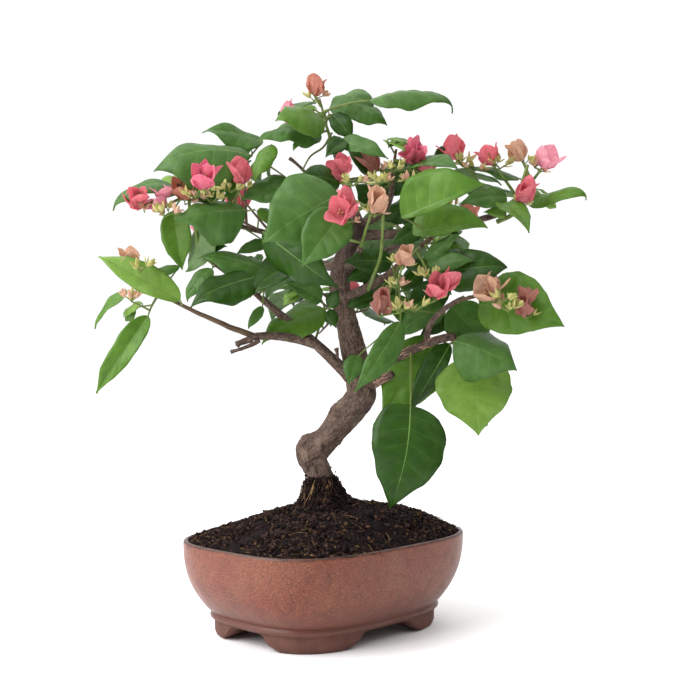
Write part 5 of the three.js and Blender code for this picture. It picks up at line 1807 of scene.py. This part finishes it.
def add_bracts(bundle, root, axis, spin, length, breadth, opening, grid, draw):
    """Three bracts around an axis; opening is the angle from the axis."""
    for bract in range(3):
        outward = radial_to(axis, spin + bract * 2 * math.pi / 3 + draw(-0.25, 0.25))
        angle = opening * draw(0.7, 1.3)
        along = axis * math.cos(angle) + outward * math.sin(angle)
        face = axis * math.sin(angle) - outward * math.cos(angle)
        add_blade(
            bundle, root + outward * 0.03 * length, along, face, length * draw(0.9, 1.08),
            breadth * draw(0.9, 1.1), bract_outline, grid, bract_shape(draw),
        )


def add_flower(root, axis, spin, length, colour, draw):
    opening = draw(0.12, 0.5) * (1.7 if spin > 1.3 else 1.0)
    add_bracts(bract_bundles[colour], root, axis, spin, length, 0.43, opening, BRACT_GRID, draw)
    for place in range(3):
        outward = radial_to(axis, spin + place * 2 * math.pi / 3)
        end = root + axis * length * draw(0.4, 0.58) + outward * length * 0.1
        line = bent_line(root, root + axis * length * 0.3 + outward * length * 0.08, end, 6)
        tubes.add(*tube(line, np.array([0.4, 0.45, 0.5, 0.5, 0.45, 0.6, 0.7]), 6))


def add_buds(root, axis, count, draw):
    """A spray of unopened bracts on short stalks."""
    for bud in range(count):
        heading = unit(axis * draw(0.3, 0.9) + radial_to(axis, 2.1 * bud + draw(-0.5, 0.5)))
        end = root + heading * draw(4, 8)
        stalks.add(*tube(bent_line(root, (root + end) / 2 + UP, end, 5), np.linspace(0.5, 0.35, 6), 5))
        bud_axis = unit(heading + UP * 0.6)
        kind = buds if draw(0, 1) < 0.75 else bract_bundles["peach"]
        add_bracts(kind, end, bud_axis, draw(0, 2), draw(4.5, 7.5), 0.27, draw(0.3, 0.8), BUD_GRID, draw)


bloom_draw = seeded_draw(811)
for mass in masses.values():
    for flower in mass.flowers:
        root, length = flower.root, flower.length
        axis = unit(flower.axis + FRONT * 0.35 + np.array([0.45 * math.cos(9 * flower.spin), 0, 0]))
        add_flower(root, axis, flower.spin, length, flower.colour, bloom_draw)
        for extra in range(flower.size - 1):
            lean = unit(axis + radial_to(axis, 2.2 * extra + bloom_draw(0, 2)) * 0.9)
            start = root + lean * 6
            stalks.add(*tube(np.array([root, root + lean * 3, start]), 0.45, 5))
            spin, smaller = bloom_draw(0, 2), length * bloom_draw(0.75, 0.95)
            add_flower(start, lean, spin, smaller, flower.colour, bloom_draw)
        add_buds(root - axis * 4, axis, 2, bloom_draw)
    for place in mass.plan.buds:
        root = np.array(place, float) - UP * 6
        add_twig(stalks, twiglet_to(mass, root), 0.8, 0.5, 6)
        add_buds(root, UP, 5, bloom_draw)
for bundle in [stems, stalks, *bract_bundles.values(), tubes, buds]:
    bundle.piece(tree_place, "foliage")

# %% [markdown]
# ## Stage, light and camera
# The photograph is a plain studio shot: white ground, wide soft light from the upper left, and a
# camera almost level with the plant. One large area light and a world that is white behind and
# above the plant but dimmer before it give that, over a pale floor that goes far back. The camera
# itself always sees the world as white. It looks at one corner of the pot, and is placed from the
# pot's own middle.

# %% Floor
FLOOR_SIZE = 12.0
floor_finish, floor_tree = new_finish("floor_paper")
floor_cloud = place_group(floor_tree, mottle, Size=300.0, Contrast=1.0).outputs["Cloud"]
floor_colour = mix_colours(floor_tree, floor_cloud, tint(253, 253, 253), tint(255, 255, 255))
floor_look = {"Base Color": floor_colour, "Roughness": 0.7}
show_surface(floor_tree, add_node(floor_tree, "ShaderNodeBsdfPrincipled", floor_look).outputs[0])
floor_mesh = bpy.data.meshes.new("floor")
corner_signs = ((-1, -1), (1, -1), (1, 1), (-1, 1))
floor_corners = [(x * FLOOR_SIZE / 2, y * FLOOR_SIZE / 2, 0) for x, y in corner_signs]
floor_mesh.from_pydata(floor_corners, [], [(0, 1, 2, 3)])
floor_mesh.materials.append(floor_finish)
floor = bpy.data.objects.new("floor", floor_mesh)
bpy.context.collection.objects.link(floor)
floor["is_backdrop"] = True

# %% Camera
def set_up(name, data, place, toward):
    """A camera or a light at a place, looking in a direction."""
    made = bpy.data.objects.new(name, data)
    bpy.context.collection.objects.link(made)
    made.location = place
    made.rotation_mode = "QUATERNION"
    made.rotation_quaternion = toward.to_track_quat("-Z", "Y")
    return made


PHOTO_SIZE, SENSOR_WIDTH = 700, 36.0
CAMERA_FOCAL_PIXELS = 1300.0
CAMERA_AZIMUTH, CAMERA_ELEVATION = math.radians(-46.61), math.radians(1.38)
CAMERA_DISTANCE, CAMERA_AIM_HEIGHT, CAMERA_AIM_RIGHT = 937.3, 200.79, 17.12
right = np.array([math.cos(CAMERA_AZIMUTH), math.sin(CAMERA_AZIMUTH), 0])
back = np.array([
    math.sin(CAMERA_AZIMUTH) * math.cos(CAMERA_ELEVATION),
    -math.cos(CAMERA_AZIMUTH) * math.cos(CAMERA_ELEVATION),
    math.sin(CAMERA_ELEVATION),
])
aim = np.array([0, 0, CAMERA_AIM_HEIGHT]) + right * CAMERA_AIM_RIGHT
camera_data = bpy.data.cameras.new("camera")
camera_data.sensor_width = SENSOR_WIDTH
camera_data.lens = SENSOR_WIDTH * CAMERA_FOCAL_PIXELS / PHOTO_SIZE
camera_place = Vector(pot_place(aim + back * CAMERA_DISTANCE))
camera = set_up("camera", camera_data, camera_place, Vector(-back))
bpy.context.scene.camera = camera
print("Camera at", [round(value, 3) for value in camera.location])

# %% Lights
# The key light: its bearing from the front, and its height, distance and size in metres.
KEY_BEARING, KEY_HEIGHT, KEY_DISTANCE, KEY_SIZE, KEY_POWER = math.radians(-60), 0.75, 1.15, 1.2, 23
key_data = bpy.data.lights.new("key", "AREA")
key_data.size = KEY_SIZE
key_data.energy = KEY_POWER
level = right * math.sin(KEY_BEARING) + back * [1, 1, 0] * math.cos(KEY_BEARING)
plant_middle = Vector(pot_place(aim))
key_place = plant_middle + Vector(level * KEY_DISTANCE) + Vector((0, 0, KEY_HEIGHT))
set_up("key", key_data, key_place, plant_middle - key_place)

# %% World
world = bpy.data.worlds.new("studio")
world.use_nodes = True
world_tree = world.node_tree
direction = add_node(world_tree, "ShaderNodeTexCoord").outputs["Generated"]
to_backdrop = {0: direction, 1: Vector(-0.8 * back - 0.6 * right)}
ahead = add_node(world_tree, "ShaderNodeVectorMath", to_backdrop, operation="DOT_PRODUCT")
above = add_node(world_tree, "ShaderNodeSeparateXYZ", {"Vector": direction}).outputs["Z"]
around = remap(world_tree, ahead.outputs["Value"], -0.4, 0.5, 0.3, 1.04)
ceiling = remap(world_tree, above, 0.45, 0.75, 0.0, 1.1)
backdrop = world_tree.nodes["Background"]
backdrop.inputs["Color"].default_value = (1.0, 1.0, 1.0, 1.0)
seen = add_node(world_tree, "ShaderNodeLightPath").outputs["Is Camera Ray"]
strength = reckon(world_tree, "MAXIMUM", reckon(world_tree, "ADD", around, ceiling), seen)
world_tree.links.new(strength, backdrop.inputs["Strength"])
bpy.context.scene.world = world
bpy.context.scene.view_settings.view_transform = "Standard"

# %% [markdown]
# ## Finish
# The looks must not change the object's size, so the box of the solids and the box of the dressed
# plant are printed side by side.

# %% Sizes and finish
dressed_box = [list(corner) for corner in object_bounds()]
for label, (low, high) in (("Solids", solid_box), ("Dressed", dressed_box)):
    print(label, "in mm:", [round((b - a) / MM, 1) for a, b in zip(low, high)])
